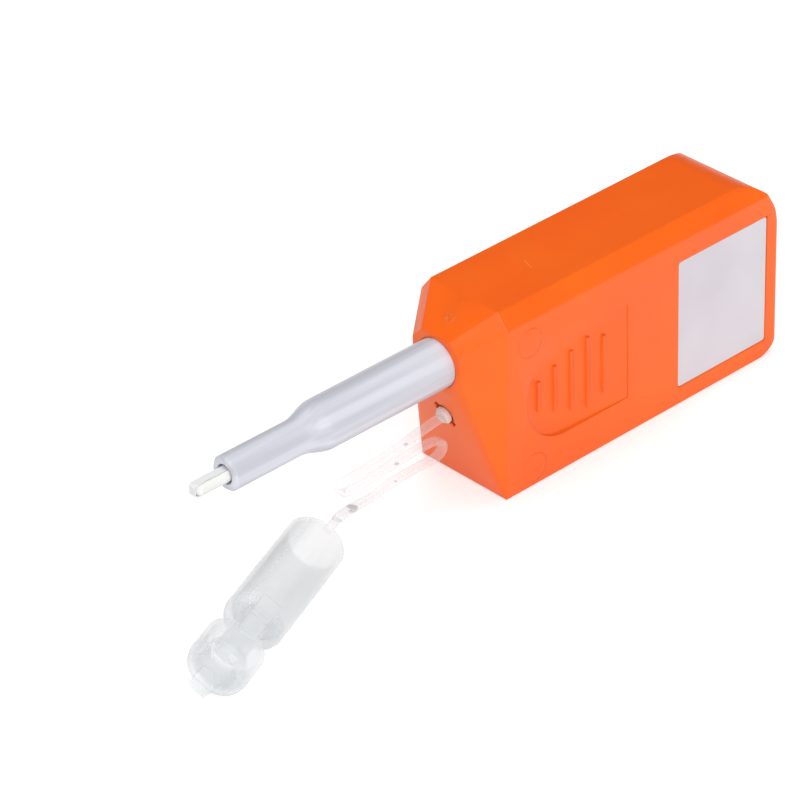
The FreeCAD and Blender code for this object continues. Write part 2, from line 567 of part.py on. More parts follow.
slider = new_body("slider")
hub = sketch_on(slider, "hub_profile", "XZ_Plane")
polygon(hub, [
    ("front_x + slider_start", "nose_r + fit_gap / 2"), ("front_x + slider_start", "slider_r - small_chamfer"),
    ("front_x + slider_start + small_chamfer", "slider_r"), ("front_x + slider_end", "slider_r"),
    ("front_x + slider_end", "slider_bore"), ("front_x + nose_rear", "slider_bore"),
    ("front_x + nose_rear", "nose_r + fit_gap / 2")])
turn(slider, hub, "H_Axis", "hub")
wings = sketch_on(slider, "wing_outline", "YZ_Plane", "front_x + slider_start")
for place in (1, -1):
    rectangle(wings, "%d * (slider_r - 0.4)" % place, "%d * wing_y" % place,
              "-wing_thick / 2", "wing_thick / 2")
pad(slider, wings, "slider_end - slider_start", 1, "wings")
arm = sketch_on(slider, "arm_outline", "XZ_Plane", "arm_y")
pitch_z = "takeup_z + gear_module * pinion_teeth / 2 - axis_high"
rectangle(arm, "front_x + arm_start", "front_x + arm_end",
          "%s - gear_module * addendum" % pitch_z, "arm_top - axis_high")
pad(slider, arm, "arm_thick", -1, "arm")
gap = sketch_on(slider, "tooth_gap_outline", "XZ_Plane", "arm_y - 0.5")
tooth_pitch = "pi * gear_module"
pinion_gap_x = "front_x + takeup_x"
tip_half = "(%s / 4 + backlash / 4 + tan(20) * gear_module * addendum)" % tooth_pitch
root_half = "(%s / 4 + backlash / 4 - tan(20) * gear_module * dedendum)" % tooth_pitch
first_gap = "%s - 5 * %s" % (pinion_gap_x, tooth_pitch)
polygon(gap, [("%s - %s" % (first_gap, tip_half), "%s - gear_module * addendum" % pitch_z),
              ("%s + %s" % (first_gap, tip_half), "%s - gear_module * addendum" % pitch_z),
              ("%s + %s" % (first_gap, root_half), "%s + gear_module * dedendum" % pitch_z),
              ("%s - %s" % (first_gap, root_half), "%s + gear_module * dedendum" % pitch_z)])
tooth_gap = pocket(slider, gap, "arm_thick + 1", -1, "tooth_gap")
rack = slider.newObject("PartDesign::LinearPattern", "rack_teeth")
rack.Originals = [tooth_gap]
rack.Direction = (gap, ["H_Axis"])
rack.Mode = "Spacing"
rack.Occurrences = 8
bind(rack, "Offset", tooth_pitch)
slider.Tip = rack
seat(slider, z="axis_high")

collar_x = "front_x + rear_bore_x"
spindle = new_body("spindle")
shaft = sketch_on(spindle, "spindle_profile", "XZ_Plane")
polygon(shaft, [
    ("front_x - spindle_front", "spindle_bore"), ("front_x - spindle_front", "spindle_thin - small_chamfer"),
    ("front_x - spindle_front + small_chamfer", "spindle_thin"), (collar_x + " + fit_gap", "spindle_thin"),
    (collar_x + " + fit_gap", "collar_r"), (collar_x + " + collar_long", "collar_r"),
    (collar_x + " + collar_long", "spindle_r"), ("front_x + spindle_rear", "spindle_r"),
    ("front_x + spindle_rear", "spindle_bore")])
turn(spindle, shaft, "H_Axis", "shaft")
groove = sketch_on(spindle, "cam_groove_profile", "XY_Plane")
cam_x = "front_x + rib_x + rib_thick / 2"
groove_start = "%s - cam_run" % cam_x
rectangle(groove, "%s - cam_wide / 2" % groove_start, "%s + cam_wide / 2" % groove_start,
          "spindle_r - cam_deep", "spindle_r + cam_over")
helix = spindle.newObject("PartDesign::SubtractiveHelix", "cam_groove")
helix.Profile = groove
helix.ReferenceAxis = (groove, ["H_Axis"])
helix.Mode = "pitch-height-angle"
bind(helix, "Pitch", "cam_pitch")
bind(helix, "Height", "cam_run + cam_exit")
# turned so that the groove passes the cam pin at rest, and open at the rear for assembly
spindle.Placement = FreeCAD.Placement(FreeCAD.Vector(), FreeCAD.Rotation(FreeCAD.Vector(1, 0, 0), 10))
bind(spindle, "Placement.Rotation.Angle", "360 - 360 * cam_run / cam_pitch")
seat(spindle, z="axis_high")

tip = new_body("cleaning_tip")
head = sketch_on(tip, "tip_profile", "XZ_Plane")
polygon(head, [
    ("front_x - tip_end + tip_flat", "0"), ("front_x - tip_end + tip_flat", "tip_r * 0.4"),
    ("front_x - tip_end + tip_shoulder", "tip_r * 0.8"), ("front_x - tip_end + tip_full", "tip_r"),
    ("front_x - tip_rear", "tip_r"), ("front_x - tip_rear", "spindle_thin - small_chamfer"),
    ("front_x - spindle_front - fit_gap / 2", "spindle_thin - small_chamfer"),
    ("front_x - spindle_front - fit_gap / 2", "spindle_bore - press"),
    ("front_x - tip_rear + shank_long", "spindle_bore - press"), ("front_x - tip_rear + shank_long", "0")])
turn(tip, head, "H_Axis", "tip_body")
slots = sketch_on(tip, "slot_outline", "XZ_Plane", "-tape_slot / 2")
for place in (1, -1):
    polygon(slots, [
        ("front_x - tip_end - past", "%d * slot_floor" % place),
        ("front_x - tip_rear - ramp_start", "%d * slot_floor" % place),
        ("front_x - tip_rear - ramp_end", "%d * slot_inner" % place),
        ("front_x - tip_rear + shank_long + past", "%d * slot_inner" % place),
        ("front_x - tip_rear + shank_long + past", "%d * 2.5" % place),
        ("front_x - tip_end - past", "%d * 2.5" % place)])
pocket(tip, slots, "tape_slot", -1, "tape_slots")
seat(tip, z="axis_high")

loop = new_body("tip_tape")
strip = sketch_on(loop, "tape_outline", "XZ_Plane", "-tape_wide / 2")
outer = [("front_x - tip_end + loop_nose", "leg_out - loop_round"),
         ("front_x - tip_end + loop_side", "leg_out"),
         ("front_x - tip_rear - ramp_start + tape_thick / 2", "leg_out"),
         ("front_x - tip_rear - ramp_end + tape_thick / 2", "leg_in"),
         ("front_x + spindle_rear", "leg_in")]
inner = [("front_x + spindle_rear", "leg_in - tape_thick"),
         ("front_x - tip_rear - ramp_end + press", "leg_in - tape_thick"),
         ("front_x - tip_rear - ramp_start + press", "leg_out - tape_thick"),
         ("front_x - tip_end + loop_side + tape_thick / 2", "leg_out - tape_thick"),
         ("front_x - tip_end + loop_nose + tape_thick * 0.9", "leg_out - loop_round - tape_thick * 0.6")]
mirror_outer = [(across, "-(%s)" % up) for across, up in reversed(outer)]
mirror_inner = [(across, "-(%s)" % up) for across, up in reversed(inner)]
polygon(strip, outer + inner + mirror_inner + mirror_outer)
pad(loop, strip, "tape_wide", -1, "loop")
seat(loop, z="axis_high")


# ---- springs and cam pin ----

def coil(label, start, end, radius, wire, turns):
    body = new_body(label)
    section = sketch_on(body, "wire_section", "XZ_Plane")
    circle(section, "%s + %s + end_gap" % (start, wire), radius, wire)
    spring = body.newObject("PartDesign::AdditiveHelix", "coil")
    spring.Profile = section
    spring.ReferenceAxis = (section, ["H_Axis"])
    spring.Mode = "height-turns-angle"
    bind(spring, "Height", "(%s) - (%s) - 2 * %s - 2 * end_gap" % (end, start, wire))
    bind(spring, "Turns", turns)
    seat(body, z="axis_high")
    return body


coil("return_spring", "front_x + slider_end", "front_x + rib_x", "return_r", "return_wire", "return_turns")
coil("tip_spring", collar_x + " + collar_long", "front_x + nose_rear", "tip_spring_r",
     "tip_spring_wire", "tip_spring_turns")


def plain_pin(label, x, y, z, radius, length):
    pin = doc.addObject("Part::Cylinder", label)
    pin.Label = label
    bind(pin, "Radius", radius)
    bind(pin, "Height", length)
    pin.Placement = FreeCAD.Placement(FreeCAD.Vector(), FreeCAD.Rotation(FreeCAD.Vector(1, 0, 0), -90))
    seat(pin, x, y, z)
    parts.append(pin)


plain_pin("cam_pin", cam_x, "spindle_r - cam_deep + cam_pin_gap", "axis_high", "cam_pin_r", "cam_pin_long")


# ---- reels ----

def ring_profile(body, name, rows):
    # rows are (inner radius, outer radius, near face, far face) of rings that make one turned solid
    for k, (inside, outside, near_face, far_face) in enumerate(rows):
        sketch = sketch_on(body, "%s_%d" % (name, k), "XY_Plane")
        rectangle(sketch, inside, outside, near_face, far_face)
        turn(body, sketch, "V_Axis", "%s_ring_%d" % (name, k))


def around(body, feature, sketch, count, name):
    pattern = body.newObject("PartDesign::PolarPattern", name)
    pattern.Originals = [feature]
    pattern.Axis = (sketch, ["N_Axis"])
    pattern.Angle = 360
    bind(pattern, "Occurrences", count)
    body.Tip = pattern
    doc.recompute()
    return pattern


def saw_notches(body, name, radius, depth, count, near_face, thick):
    # one notch with a steep and a long flank, repeated round the rim
    notch = sketch_on(body, name + "_outline", "XZ_Plane", near_face)
    step = "360 / %s" % count
    outside = "(%s + small_chamfer)" % radius
    polygon(notch, [("%s - %s" % (radius, depth), "0"),
                    ("%s * cos(%s * 0.96)" % (outside, step), "%s * sin(%s * 0.96)" % (outside, step)),
                    (outside, "0")])
    first = pocket(body, notch, thick, -1, name)
    return around(body, first, notch, count, name + "s")


inner_face = "reel_gap / 2"
outer_face = "reel_gap / 2 + flange_thick"


def reel(label, bore, hub_radius, flange):
    body = new_body(label)
    ring_profile(body, "reel", [(bore, hub_radius, "-(%s)" % outer_face, outer_face),
                                (bore, flange, "-(%s)" % outer_face, "-(%s)" % inner_face),
                                (bore, flange, inner_face, outer_face)])
    doc.recompute()
    return body


supply = reel("supply_reel", "supply_post + shaft_gap", "supply_hub", "supply_flange")
window = sketch_on(supply, "window_outline", "XZ_Plane", "-5")
circle(window, "window_at", "0", "window_r")
around(supply, pocket(supply, window, "all", -1, "window"), window, "window_count", "windows")
seat(supply, supply_spot[0][0], "0", supply_spot[0][1])

takeup = reel("takeup_reel", "takeup_post + shaft_gap", "takeup_hub", "takeup_flange")
ring_profile(takeup, "clutch", [("takeup_post + shaft_gap", "clutch_wheel", outer_face,
                                 "arm_y + clutch_deep - 0.2")])
doc.recompute()
saw_notches(takeup, "click_notch", "takeup_flange", "click_depth", "click_teeth",
            "-(%s) - 0.2" % outer_face, "flange_thick + 0.4")
saw_notches(takeup, "clutch_notch", "clutch_wheel", "clutch_depth", "clutch_teeth",
            "arm_y - 0.1", "clutch_deep")
seat(takeup, takeup_spot[0][0], "0", takeup_spot[0][1])


def roll(label, inside, outside, spot):
    body = new_body(label)
    ring_profile(body, "roll", [(inside, outside, "-tape_wide / 2", "tape_wide / 2")])
    seat(body, spot[0], "0", spot[1])


roll("supply_tape_roll", "supply_hub + roll_gap", "roll_r", supply_spot[0])
roll("used_tape_roll", "takeup_hub + roll_gap", "used_r", takeup_spot[0])
washer = new_body("drag_washer")
ring_profile(washer, "felt", [("supply_post + shaft_gap", "washer_r", outer_face + " + fit_gap",
                               outer_face + " + fit_gap + washer_thick")])
seat(washer, supply_spot[0][0], "0", supply_spot[0][1])


# ---- drive pinion, with an involute outline worked out from its module and tooth count ----

def shape_part(label, shape, x="0", y="0", z="0"):
    part = doc.addObject("Part::Feature", label)
    part.Label = label
    part.Shape = shape
    part.Placement = FreeCAD.Placement()
    seat(part, x, y, z)
    parts.append(part)
    return part


def pinion_outline():
    module, teeth = num("gear_module"), int(num("pinion_teeth"))
    pitch_r = module * teeth / 2
    base_r = pitch_r * math.cos(math.radians(20))
    tip_r, root_r = pitch_r + num("addendum") * module, pitch_r - num("dedendum") * module
    start_r = max(base_r, root_r + 0.02)

    def roll_angle(radius):
        lean = math.acos(min(1.0, base_r / radius))
        return math.tan(lean) - lean

    half_tooth = (math.pi * module / 2 - num("backlash") / 2) / (2 * pitch_r) + roll_angle(pitch_r)
    flank = [start_r + (tip_r - start_r) * k / 3 for k in range(4)]
    points = []
    for tooth in range(teeth):
        middle = math.pi / 2 + 2 * math.pi * tooth / teeth
        rising = [(radius, middle - half_tooth + roll_angle(radius)) for radius in flank]
        falling = [(radius, middle + half_tooth - roll_angle(radius)) for radius in reversed(flank)]
        for radius, angle in [(root_r, rising[0][1])] + rising + falling + [(root_r, falling[-1][1])]:
            points.append(FreeCAD.Vector(radius * math.cos(angle), 0, radius * math.sin(angle)))
    return points


def ring(inner_r, outer_r, thick):
    along = FreeCAD.Vector(0, 1, 0)
    disc = Part.makeCylinder(outer_r, thick, FreeCAD.Vector(), along)
    return disc.cut(Part.makeCylinder(inner_r, thick, FreeCAD.Vector(), along))


outline = pinion_outline()
blank_gear = Part.Face(Part.makePolygon(outline + outline[:1])).extrude(
    FreeCAD.Vector(0, num("arm_thick"), 0))
clutch_recess = Part.makeCylinder(num("clutch_r"), num("clutch_deep"), FreeCAD.Vector(),
                                  FreeCAD.Vector(0, 1, 0))
shaft_hole = Part.makeCylinder(num("takeup_post + shaft_gap"), num("arm_thick"), FreeCAD.Vector(),
                               FreeCAD.Vector(0, 1, 0))
shape_part("drive_pinion", blank_gear.cut(clutch_recess).cut(shaft_hole),
           takeup_spot[0][0], "arm_y", takeup_spot[0][1])

finger_thick, finger_long, finger_lean = 0.25, 3.2, 4
spring_wide = num("clutch_deep") - 0.4
spring_outer = num("clutch_r") - 0.03
spring_inner = num("clutch_r") - 0.35
clutch_ring = ring(spring_inner, spring_outer, spring_wide)
for step in range(2):
    finger = Part.makeBox(finger_long, spring_wide, finger_thick)
    finger.translate(FreeCAD.Vector(-finger_long, 0, spring_inner))
    finger.rotate(FreeCAD.Vector(-finger_long, 0, spring_inner), FreeCAD.Vector(0, 1, 0), finger_lean)
    finger.rotate(FreeCAD.Vector(), FreeCAD.Vector(0, 1, 0), 180 * step)
    clutch_ring = clutch_ring.fuse(finger)
clutch_ring = clutch_ring.common(Part.makeCylinder(spring_outer, spring_wide, FreeCAD.Vector(),
                                                   FreeCAD.Vector(0, 1, 0)))
shape_part("clutch_spring", clutch_ring, takeup_spot[0][0], "arm_y + 0.2", takeup_spot[0][1])

click = new_body("click_spring")
leaf = sketch_on(click, "leaf_outline", "XZ_Plane", "-(%s)" % outer_face)
leaf_x = "front_x + takeup_x + %s"
polygon(leaf, [(leaf_x % "leaf_end", "wall + leaf_low"), (leaf_x % "leaf_end", "wall + leaf_low + leaf_thick"),
               (leaf_x % "leaf_bend", "wall + leaf_bend_high + leaf_bend_thick"),
               (leaf_x % "leaf_tip", "wall + leaf_tip_high"),
               (leaf_x % "leaf_tip - leaf_thick", "wall + leaf_tip_high - leaf_thick"),
               (leaf_x % "leaf_bend", "wall + leaf_bend_high")])
pad(click, leaf, "flange_thick", -1, "leaf")


# ---- tape runs between the spindle and the reels ----

def ribbon(label, points):
    # a thin strip that follows a polyline in the X-Z plane
    half_thick = num("tape_thick") / 2
    above, below = [], []
    for k, point in enumerate(points):
        before = points[max(k - 1, 0)]
        after = points[min(k + 1, len(points) - 1)]
        course = (after - before).normalize()
        square = FreeCAD.Vector(-course.z, 0, course.x) * half_thick
        above.append(point + square)
        below.append(point - square)
    loop_points = above + below[::-1]
    for point in loop_points:
        point.y = -num("tape_wide") / 2
    face = Part.Face(Part.makePolygon(loop_points + loop_points[:1]))
    return shape_part(label, face.extrude(FreeCAD.Vector(0, num("tape_wide"), 0)))


def circle_point(centre, radius, degrees):
    angle = math.radians(degrees)
    return centre + FreeCAD.Vector(radius * math.cos(angle), 0, radius * math.sin(angle))


def bearing(start, end):
    return math.degrees(math.atan2(end.z - start.z, end.x - start.x))


def spot_of(x_text, z_text):
    return FreeCAD.Vector(num(x_text), 0, num(z_text))


clear = num("tape_thick") / 2 + num("fit_gap")
exit_x = num("front_x + spindle_rear") + 0.1
leg = num("leg_in") - num("tape_thick") / 2
post_a, post_b = (spot_of(*spot) for spot in guide_spots)
supply_centre, takeup_centre = spot_of(*supply_spot[0]), spot_of(*takeup_spot[0])
wrap = num("guide_post") + clear

start_a = FreeCAD.Vector(exit_x, 0, num("axis_high") + leg)
reach_a = (post_a - start_a).Length
on_a = bearing(start_a, post_a) + 90 + math.degrees(math.asin(wrap / reach_a))
roll_wrap = num("roll_r") + clear
down = bearing(post_a, supply_centre)
off_a = down + math.degrees(math.acos((wrap - roll_wrap) / (supply_centre - post_a).Length))
points = [start_a]
points += [circle_point(post_a, wrap, on_a + (off_a - on_a) * k / 5) for k in range(6)]
points.append(circle_point(supply_centre, roll_wrap, off_a))
ribbon("supply_tape_run", points)

start_b = FreeCAD.Vector(exit_x, 0, num("axis_high") - leg)
reach_b = (post_b - start_b).Length
on_b = bearing(start_b, post_b) + 90 + math.degrees(math.asin(wrap / reach_b))
used_wrap = num("used_r") + clear
back = bearing(post_b, takeup_centre)
off_b = back + math.degrees(math.acos((wrap - used_wrap) / (takeup_centre - post_b).Length))
while off_b > on_b:
    off_b -= 360
points = [start_b]
points += [circle_point(post_b, wrap, on_b + (off_b - on_b) * k / 8) for k in range(9)]
points.append(circle_point(takeup_centre, used_wrap, off_b))
ribbon("return_tape_run", points)


# ---- guide cap with its flip lid, modelled along +X and then laid on the floor ----

def lay_cap(body):
    turned = FreeCAD.Rotation(FreeCAD.Vector(0, 0, 1), num("cap_turn"))
    pitched = FreeCAD.Rotation(FreeCAD.Vector(0, 1, 0), -num("cap_pitch"))
    rolled = FreeCAD.Rotation(FreeCAD.Vector(1, 0, 0), -num("cap_roll"))
    body.Placement = FreeCAD.Placement(
        FreeCAD.Vector(num("cap_x"), num("cap_y"), num("cap_r")), turned.multiply(pitched).multiply(rolled))


cap = new_body("guide_cap")
tube = sketch_on(cap, "tube_profile", "XZ_Plane")
polygon(tube, [
    ("0", "cap_bore + 0.15"), ("0", "cap_r - 0.12"), ("0.12", "cap_r"), ("cap_long - cap_round", "cap_r"),
    ("cap_long - cap_round * 0.5", "cap_r - cap_round * 0.134"),
    ("cap_long - cap_round * 0.134", "cap_r - cap_round * 0.5"),
    ("cap_long", "cap_r - cap_round"), ("cap_long", "neck_r + 0.3"), ("cap_long + 0.3", "neck_r"),
    ("neck_end - 0.3", "neck_r"), ("neck_end", "neck_r - 0.2"), ("neck_end", "neck_bore + neck_mouth"),
    ("neck_end - neck_mouth", "neck_bore"), ("cap_long - cap_wall - 1", "neck_bore"),
    ("cap_long - cap_wall - 1", "neck_bore + 0.8"), ("cap_long - cap_wall", "neck_bore + 0.8"),
    ("cap_long - cap_wall", "cap_bore - 1.2"), ("cap_long - cap_wall - 1.2", "cap_bore"),
    ("0.15", "cap_bore")])
turn(cap, tube, "H_Axis", "tube")
lug = sketch_on(cap, "lug_outline", "XZ_Plane", "-lug_wide / 2")
rectangle(lug, "-lug_long", "0.6", "cap_r - lug_thick", "cap_r")
pad(cap, lug, "lug_wide", -1, "strap_lug")
hinge_root = sketch_on(cap, "hinge_root_outline", "XZ_Plane", "-hinge_wide / 2")
rectangle(hinge_root, "cap_long - cap_round - 0.5", "hinge_at - hinge_half",
          "cap_r + hinge_out - arm_deep", "cap_r + hinge_out")
pad(cap, hinge_root, "hinge_wide", -1, "hinge_root")
lay_cap(cap)

web = new_body("lid_hinge_web")
web_outline = sketch_on(web, "web_outline", "XZ_Plane", "-hinge_wide / 2")
rectangle(web_outline, "hinge_at - hinge_half", "hinge_at + hinge_half",
          "cap_r + hinge_out - hinge_thick", "cap_r + hinge_out")
pad(web, web_outline, "hinge_wide", -1, "web")
lay_cap(web)

lid = new_body("flip_lid")
cup = sketch_on(lid, "cup_profile", "XZ_Plane")
polygon(cup, [
    ("lid_start", "cap_r - lid_wall"), ("lid_start", "cap_r"), ("lid_end - lid_round", "cap_r"),
    ("lid_end - lid_round * 0.5", "cap_r - lid_round * 0.134"),
    ("lid_end - lid_round * 0.134", "cap_r - lid_round * 0.5"),
    ("lid_end", "cap_r - lid_round"), ("lid_end", "0"), ("lid_end - lid_wall", "0"),
    ("lid_end - lid_wall", "lid_tube_bore"), ("lid_tube_start", "lid_tube_bore"),
    ("lid_tube_start", "lid_tube_r"), ("lid_end - lid_wall", "lid_tube_r"),
    ("lid_end - lid_wall", "cap_r - lid_wall - 0.8"), ("lid_end - lid_wall - 0.8", "cap_r - lid_wall")])
turn(lid, cup, "H_Axis", "cup")
tongue = sketch_on(lid, "tongue_outline", "YZ_Plane", "lid_end - 0.2")
rectangle(tongue, "-tab_wide / 2", "tab_wide / 2", "-tab_low", "tab_top")
pad(lid, tongue, "tab_rise + 0.2", 1, "tongue")
bar = sketch_on(lid, "bar_outline", "YZ_Plane", "lid_end - lid_round - 0.2")
rectangle(bar, "-bar_long / 2", "bar_long / 2", "-cap_r - bar_out", "-tab_low + 0.2")
pad(lid, bar, "lid_round + 0.2 - bar_sink + tab_rise", 1, "thumb_bar")
lid_root = sketch_on(lid, "lid_root_outline", "XZ_Plane", "-hinge_wide / 2")
rectangle(lid_root, "hinge_at + hinge_half", "lid_start + 1.5", "cap_r + hinge_out - arm_deep",
          "cap_r + hinge_out")
pad(lid, lid_root, "hinge_wide", -1, "hinge_root")
lay_cap(lid)


# ---- tether plug and strap ----

plug = new_body("tether_plug")
button = sketch_on(plug, "plug_profile", "XZ_Plane")
polygon(button, [
    ("-plug_head", "0"), ("-plug_head", "plug_r - 0.35"), ("-plug_head + 0.35", "plug_r"),
    ("0", "plug_r"), ("0", "plug_shaft"), ("wall / cos(%s) + 0.25" % slope_angle, "plug_shaft"),
    ("wall / cos(%s) + 0.25" % slope_angle, "plug_foot"),
    ("wall / cos(%s) + 1.0" % slope_angle, "plug_foot * 0.8"),
    ("wall / cos(%s) + 1.0" % slope_angle, "0")])
turn(plug, button, "H_Axis", "button")
plug.Placement = FreeCAD.Placement(FreeCAD.Vector(), FreeCAD.Rotation(FreeCAD.Vector(0, -1, 0), 15))
bind(plug, "Placement.Rotation.Angle", slope_angle)
seat(plug, plug_x + " - press", "0", "plug_high")

strap_route = [
    (-32.4, 0.0, 12.6), (-36.8, 0.2, 11.85), (-41.8, 0.4, 10.75), (-47.2, 0.5, 10.2), (-52.4, 0.5, 10.1),
    (-52.7, 0.5, 7.9), (-47.0, 0.5, 8.0), (-41.0, 0.5, 8.6), (-35.6, 0.4, 9.0), (-31.9, 0.3, 8.6),
    (-32.2, 0.2, 5.8), (-37.0, 0.1, 6.0), (-42.5, -0.1, 6.1), (-47.5, -0.8, 5.8), (-52.3, -1.7, 6.9)]


def bent_tube(label, route, radius):
    # straight runs joined by tangent arcs, each as large as its two runs allow
    spots = [FreeCAD.Vector(*point) for point in route]
    edges, start = [], spots[0]
    for k in range(1, len(spots) - 1):
        into = spots[k] - spots[k - 1]
        out = spots[k + 1] - spots[k]
        turn_by = into.getAngle(out)
        reach = 0.45 * min(into.Length, out.Length)
        print("%s bend %d: radius %.2f" % (label, k, reach / math.tan(turn_by / 2)))
        into.normalize()
        out.normalize()
        entry, leave = spots[k] - into * reach, spots[k] + out * reach
        bisector = (out - into).normalize()
        depth = reach * (1 / math.cos(turn_by / 2) - 1) / math.tan(turn_by / 2)
        edges += [Part.LineSegment(start, entry).toShape(),
                  Part.Arc(entry, spots[k] + bisector * depth, leave).toShape()]
        start = leave
    edges.append(Part.LineSegment(start, spots[-1]).toShape())
    path = Part.Wire(edges)
    section = Part.Wire(Part.makeCircle(radius, spots[0], spots[1] - spots[0]))
    tube_shape = path.makePipeShell([section], True, False)
    print("%s length %.1f, volume %.2f of %.2f" % (
        label, path.Length, tube_shape.Volume, math.pi * radius ** 2 * path.Length))
    return shape_part(label, tube_shape)


lug_end = cap.Placement.multVec(FreeCAD.Vector(-num("lug_long"), 0, num("cap_r - lug_thick / 2")))
bent_tube("tether_strap", strap_route + [tuple(lug_end)], num("strap_wide") / 2)


# ---- checks and export ----

doc.recompute()
for item in doc.Objects:
    if "Invalid" in item.State or "Error" in item.State:
        raise ValueError("%s failed: %s" % (item.Name, item.State))
for item in parts:
    if item.Shape.isNull() or not item.Shape.isValid():
        raise ValueError(item.Label + " has no valid shape")
os.makedirs("parts", exist_ok=True)
for item in parts:
    item.Shape.exportStep("parts/%s.step" % item.Label)
print("%d parts" % len(parts))
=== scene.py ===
import json
from math import cos, radians, sin

import bmesh
import bpy
from mathutils import Matrix, Vector


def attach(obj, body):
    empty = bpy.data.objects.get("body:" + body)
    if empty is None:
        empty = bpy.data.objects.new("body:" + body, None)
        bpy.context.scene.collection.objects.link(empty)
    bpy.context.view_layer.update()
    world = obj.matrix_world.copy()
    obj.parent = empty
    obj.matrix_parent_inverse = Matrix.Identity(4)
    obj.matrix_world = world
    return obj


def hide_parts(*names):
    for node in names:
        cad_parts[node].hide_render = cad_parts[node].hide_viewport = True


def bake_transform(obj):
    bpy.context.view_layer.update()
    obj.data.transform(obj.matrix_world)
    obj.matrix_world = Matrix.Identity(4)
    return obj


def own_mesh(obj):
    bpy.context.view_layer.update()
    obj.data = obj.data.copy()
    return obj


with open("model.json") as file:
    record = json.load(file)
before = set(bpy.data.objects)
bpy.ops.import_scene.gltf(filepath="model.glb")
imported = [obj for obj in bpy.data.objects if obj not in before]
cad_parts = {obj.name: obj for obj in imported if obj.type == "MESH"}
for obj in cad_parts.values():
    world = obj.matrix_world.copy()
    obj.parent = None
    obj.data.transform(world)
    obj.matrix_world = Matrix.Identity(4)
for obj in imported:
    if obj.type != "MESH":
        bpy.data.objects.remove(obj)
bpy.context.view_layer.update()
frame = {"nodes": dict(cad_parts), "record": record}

nodes = frame["nodes"]
record = frame["record"]
scene = bpy.context.scene
print("frame loaded:", len(nodes), "nodes")


# shader maths as plain expressions

class Value:
    def __init__(self, shader, socket):
        self.shader, self.socket = shader, socket

    def maths(self, operation, one, two=None):
        return self.shader.node("ShaderNodeMath", {"operation": operation}, {0: one, 1: two})

    def __add__(self, other):
        return self.maths("ADD", self, other)

    def __radd__(self, other):
        return self.maths("ADD", other, self)

    def __sub__(self, other):
        return self.maths("SUBTRACT", self, other)

    def __rsub__(self, other):
        return self.maths("SUBTRACT", other, self)

    def __mul__(self, other):
        return self.maths("MULTIPLY", self, other)

    def __pow__(self, other):
        return self.maths("POWER", self, other)

    def size(self):
        return self.maths("ABSOLUTE", self)

    def wave(self):
        return self.maths("SINE", self)

    def swing(self, amount):
        # a value from 0 to 1 becomes one that swings about 0, by half the amount each way
        return (self - 0.5) * amount

    def smooth(self, low, high):
        # 0 below low, 1 above high, with an eased step between them
        return self.shader.node("ShaderNodeMapRange", {"interpolation_type": "SMOOTHSTEP"},
                                {"Value": self, "From Min": low, "From Max": high}, "Result")


class Finish:
    # one material, with its Principled shader and the nodes that feed it
    def __init__(self, name, **surface):
        self.material = bpy.data.materials.new(name)
        self.material.use_nodes = True
        self.tree = self.material.node_tree
        self.surface = self.tree.nodes["Principled BSDF"]
        self.set(self.surface, surface)

    def set(self, node, values):
        for key, value in values.items():
            if value is None:
                continue
            socket = node.inputs[key.replace("_", " ") if isinstance(key, str) else key]
            if isinstance(value, Value):
                self.tree.links.new(value.socket, socket)
            else:
                socket.default_value = value

    def node(self, kind, settings=None, values=None, result=0):
        made = self.tree.nodes.new(kind)
        for key, value in (settings or {}).items():
            setattr(made, key, value)
        self.set(made, values or {})
        return Value(self, made.outputs[result])

    def place(self, scale=(1, 1, 1)):
        here = self.node("ShaderNodeTexCoord", result="Object")
        return self.node("ShaderNodeMapping", {}, {"Vector": here, "Scale": scale})

    def axes(self):
        here = self.node("ShaderNodeTexCoord", result="Object")
        split = self.tree.nodes.new("ShaderNodeSeparateXYZ")
        self.tree.links.new(here.socket, split.inputs[0])
        return [Value(self, out) for out in split.outputs]

    def disc(self, centre, inner, outer):
        # 1 nearer to the centre than inner, 0 beyond outer; a centre with no y marks a rod along y
        reach = 0
        for here, middle in zip(self.axes(), centre):
            if middle is not None:
                reach = (here - middle) ** 2 + reach
        return 1 - (reach ** 0.5).smooth(inner, outer)

    def noise(self, scale, detail, where=None):
        return self.node("ShaderNodeTexNoise", {}, {"Vector": where or self.place(), "Scale": scale,
                                                    "Detail": detail}, "Fac")

    def blend(self, factor, one, two):
        # a mix node takes its colours at inputs 6 and 7
        return self.node("ShaderNodeMix", {"data_type": "RGBA"}, {0: factor, 6: one, 7: two}, 2)

    def blendNormals(self, factor, one, two):
        # a mix node takes its vectors at inputs 4 and 5
        return self.node("ShaderNodeMix", {"data_type": "VECTOR"}, {0: factor, 4: one, 5: two}, 1)

    def bump(self, height, strength, distance, over=None):
        return self.node("ShaderNodeBump", {}, {"Height": height, "Strength": strength,
                                                "Distance": distance, "Normal": over})

    def softEdges(self, radius):
        return self.node("ShaderNodeBevel", {"samples": 6}, {"Radius": radius})

    def facing(self):
        # 0 where the surface faces the eye and 1 at its outline, where clear plastic looks denser
        return self.node("ShaderNodeLayerWeight", {}, {"Blend": 0.5}, "Facing")

    def feed(self, **values):
        self.set(self.surface, values)
        return self.material


def rgb(red, green, blue):
    # a colour given as screen values from 0 to 255
    def plain(level):
        level /= 255
        return level / 12.92 if level <= 0.04045 else ((level + 0.055) / 1.055) ** 2.4
    return (plain(red), plain(green), plain(blue), 1)


# moulded orange plastic, with the rings that bosses leave on the side walls, the gate and a scratch

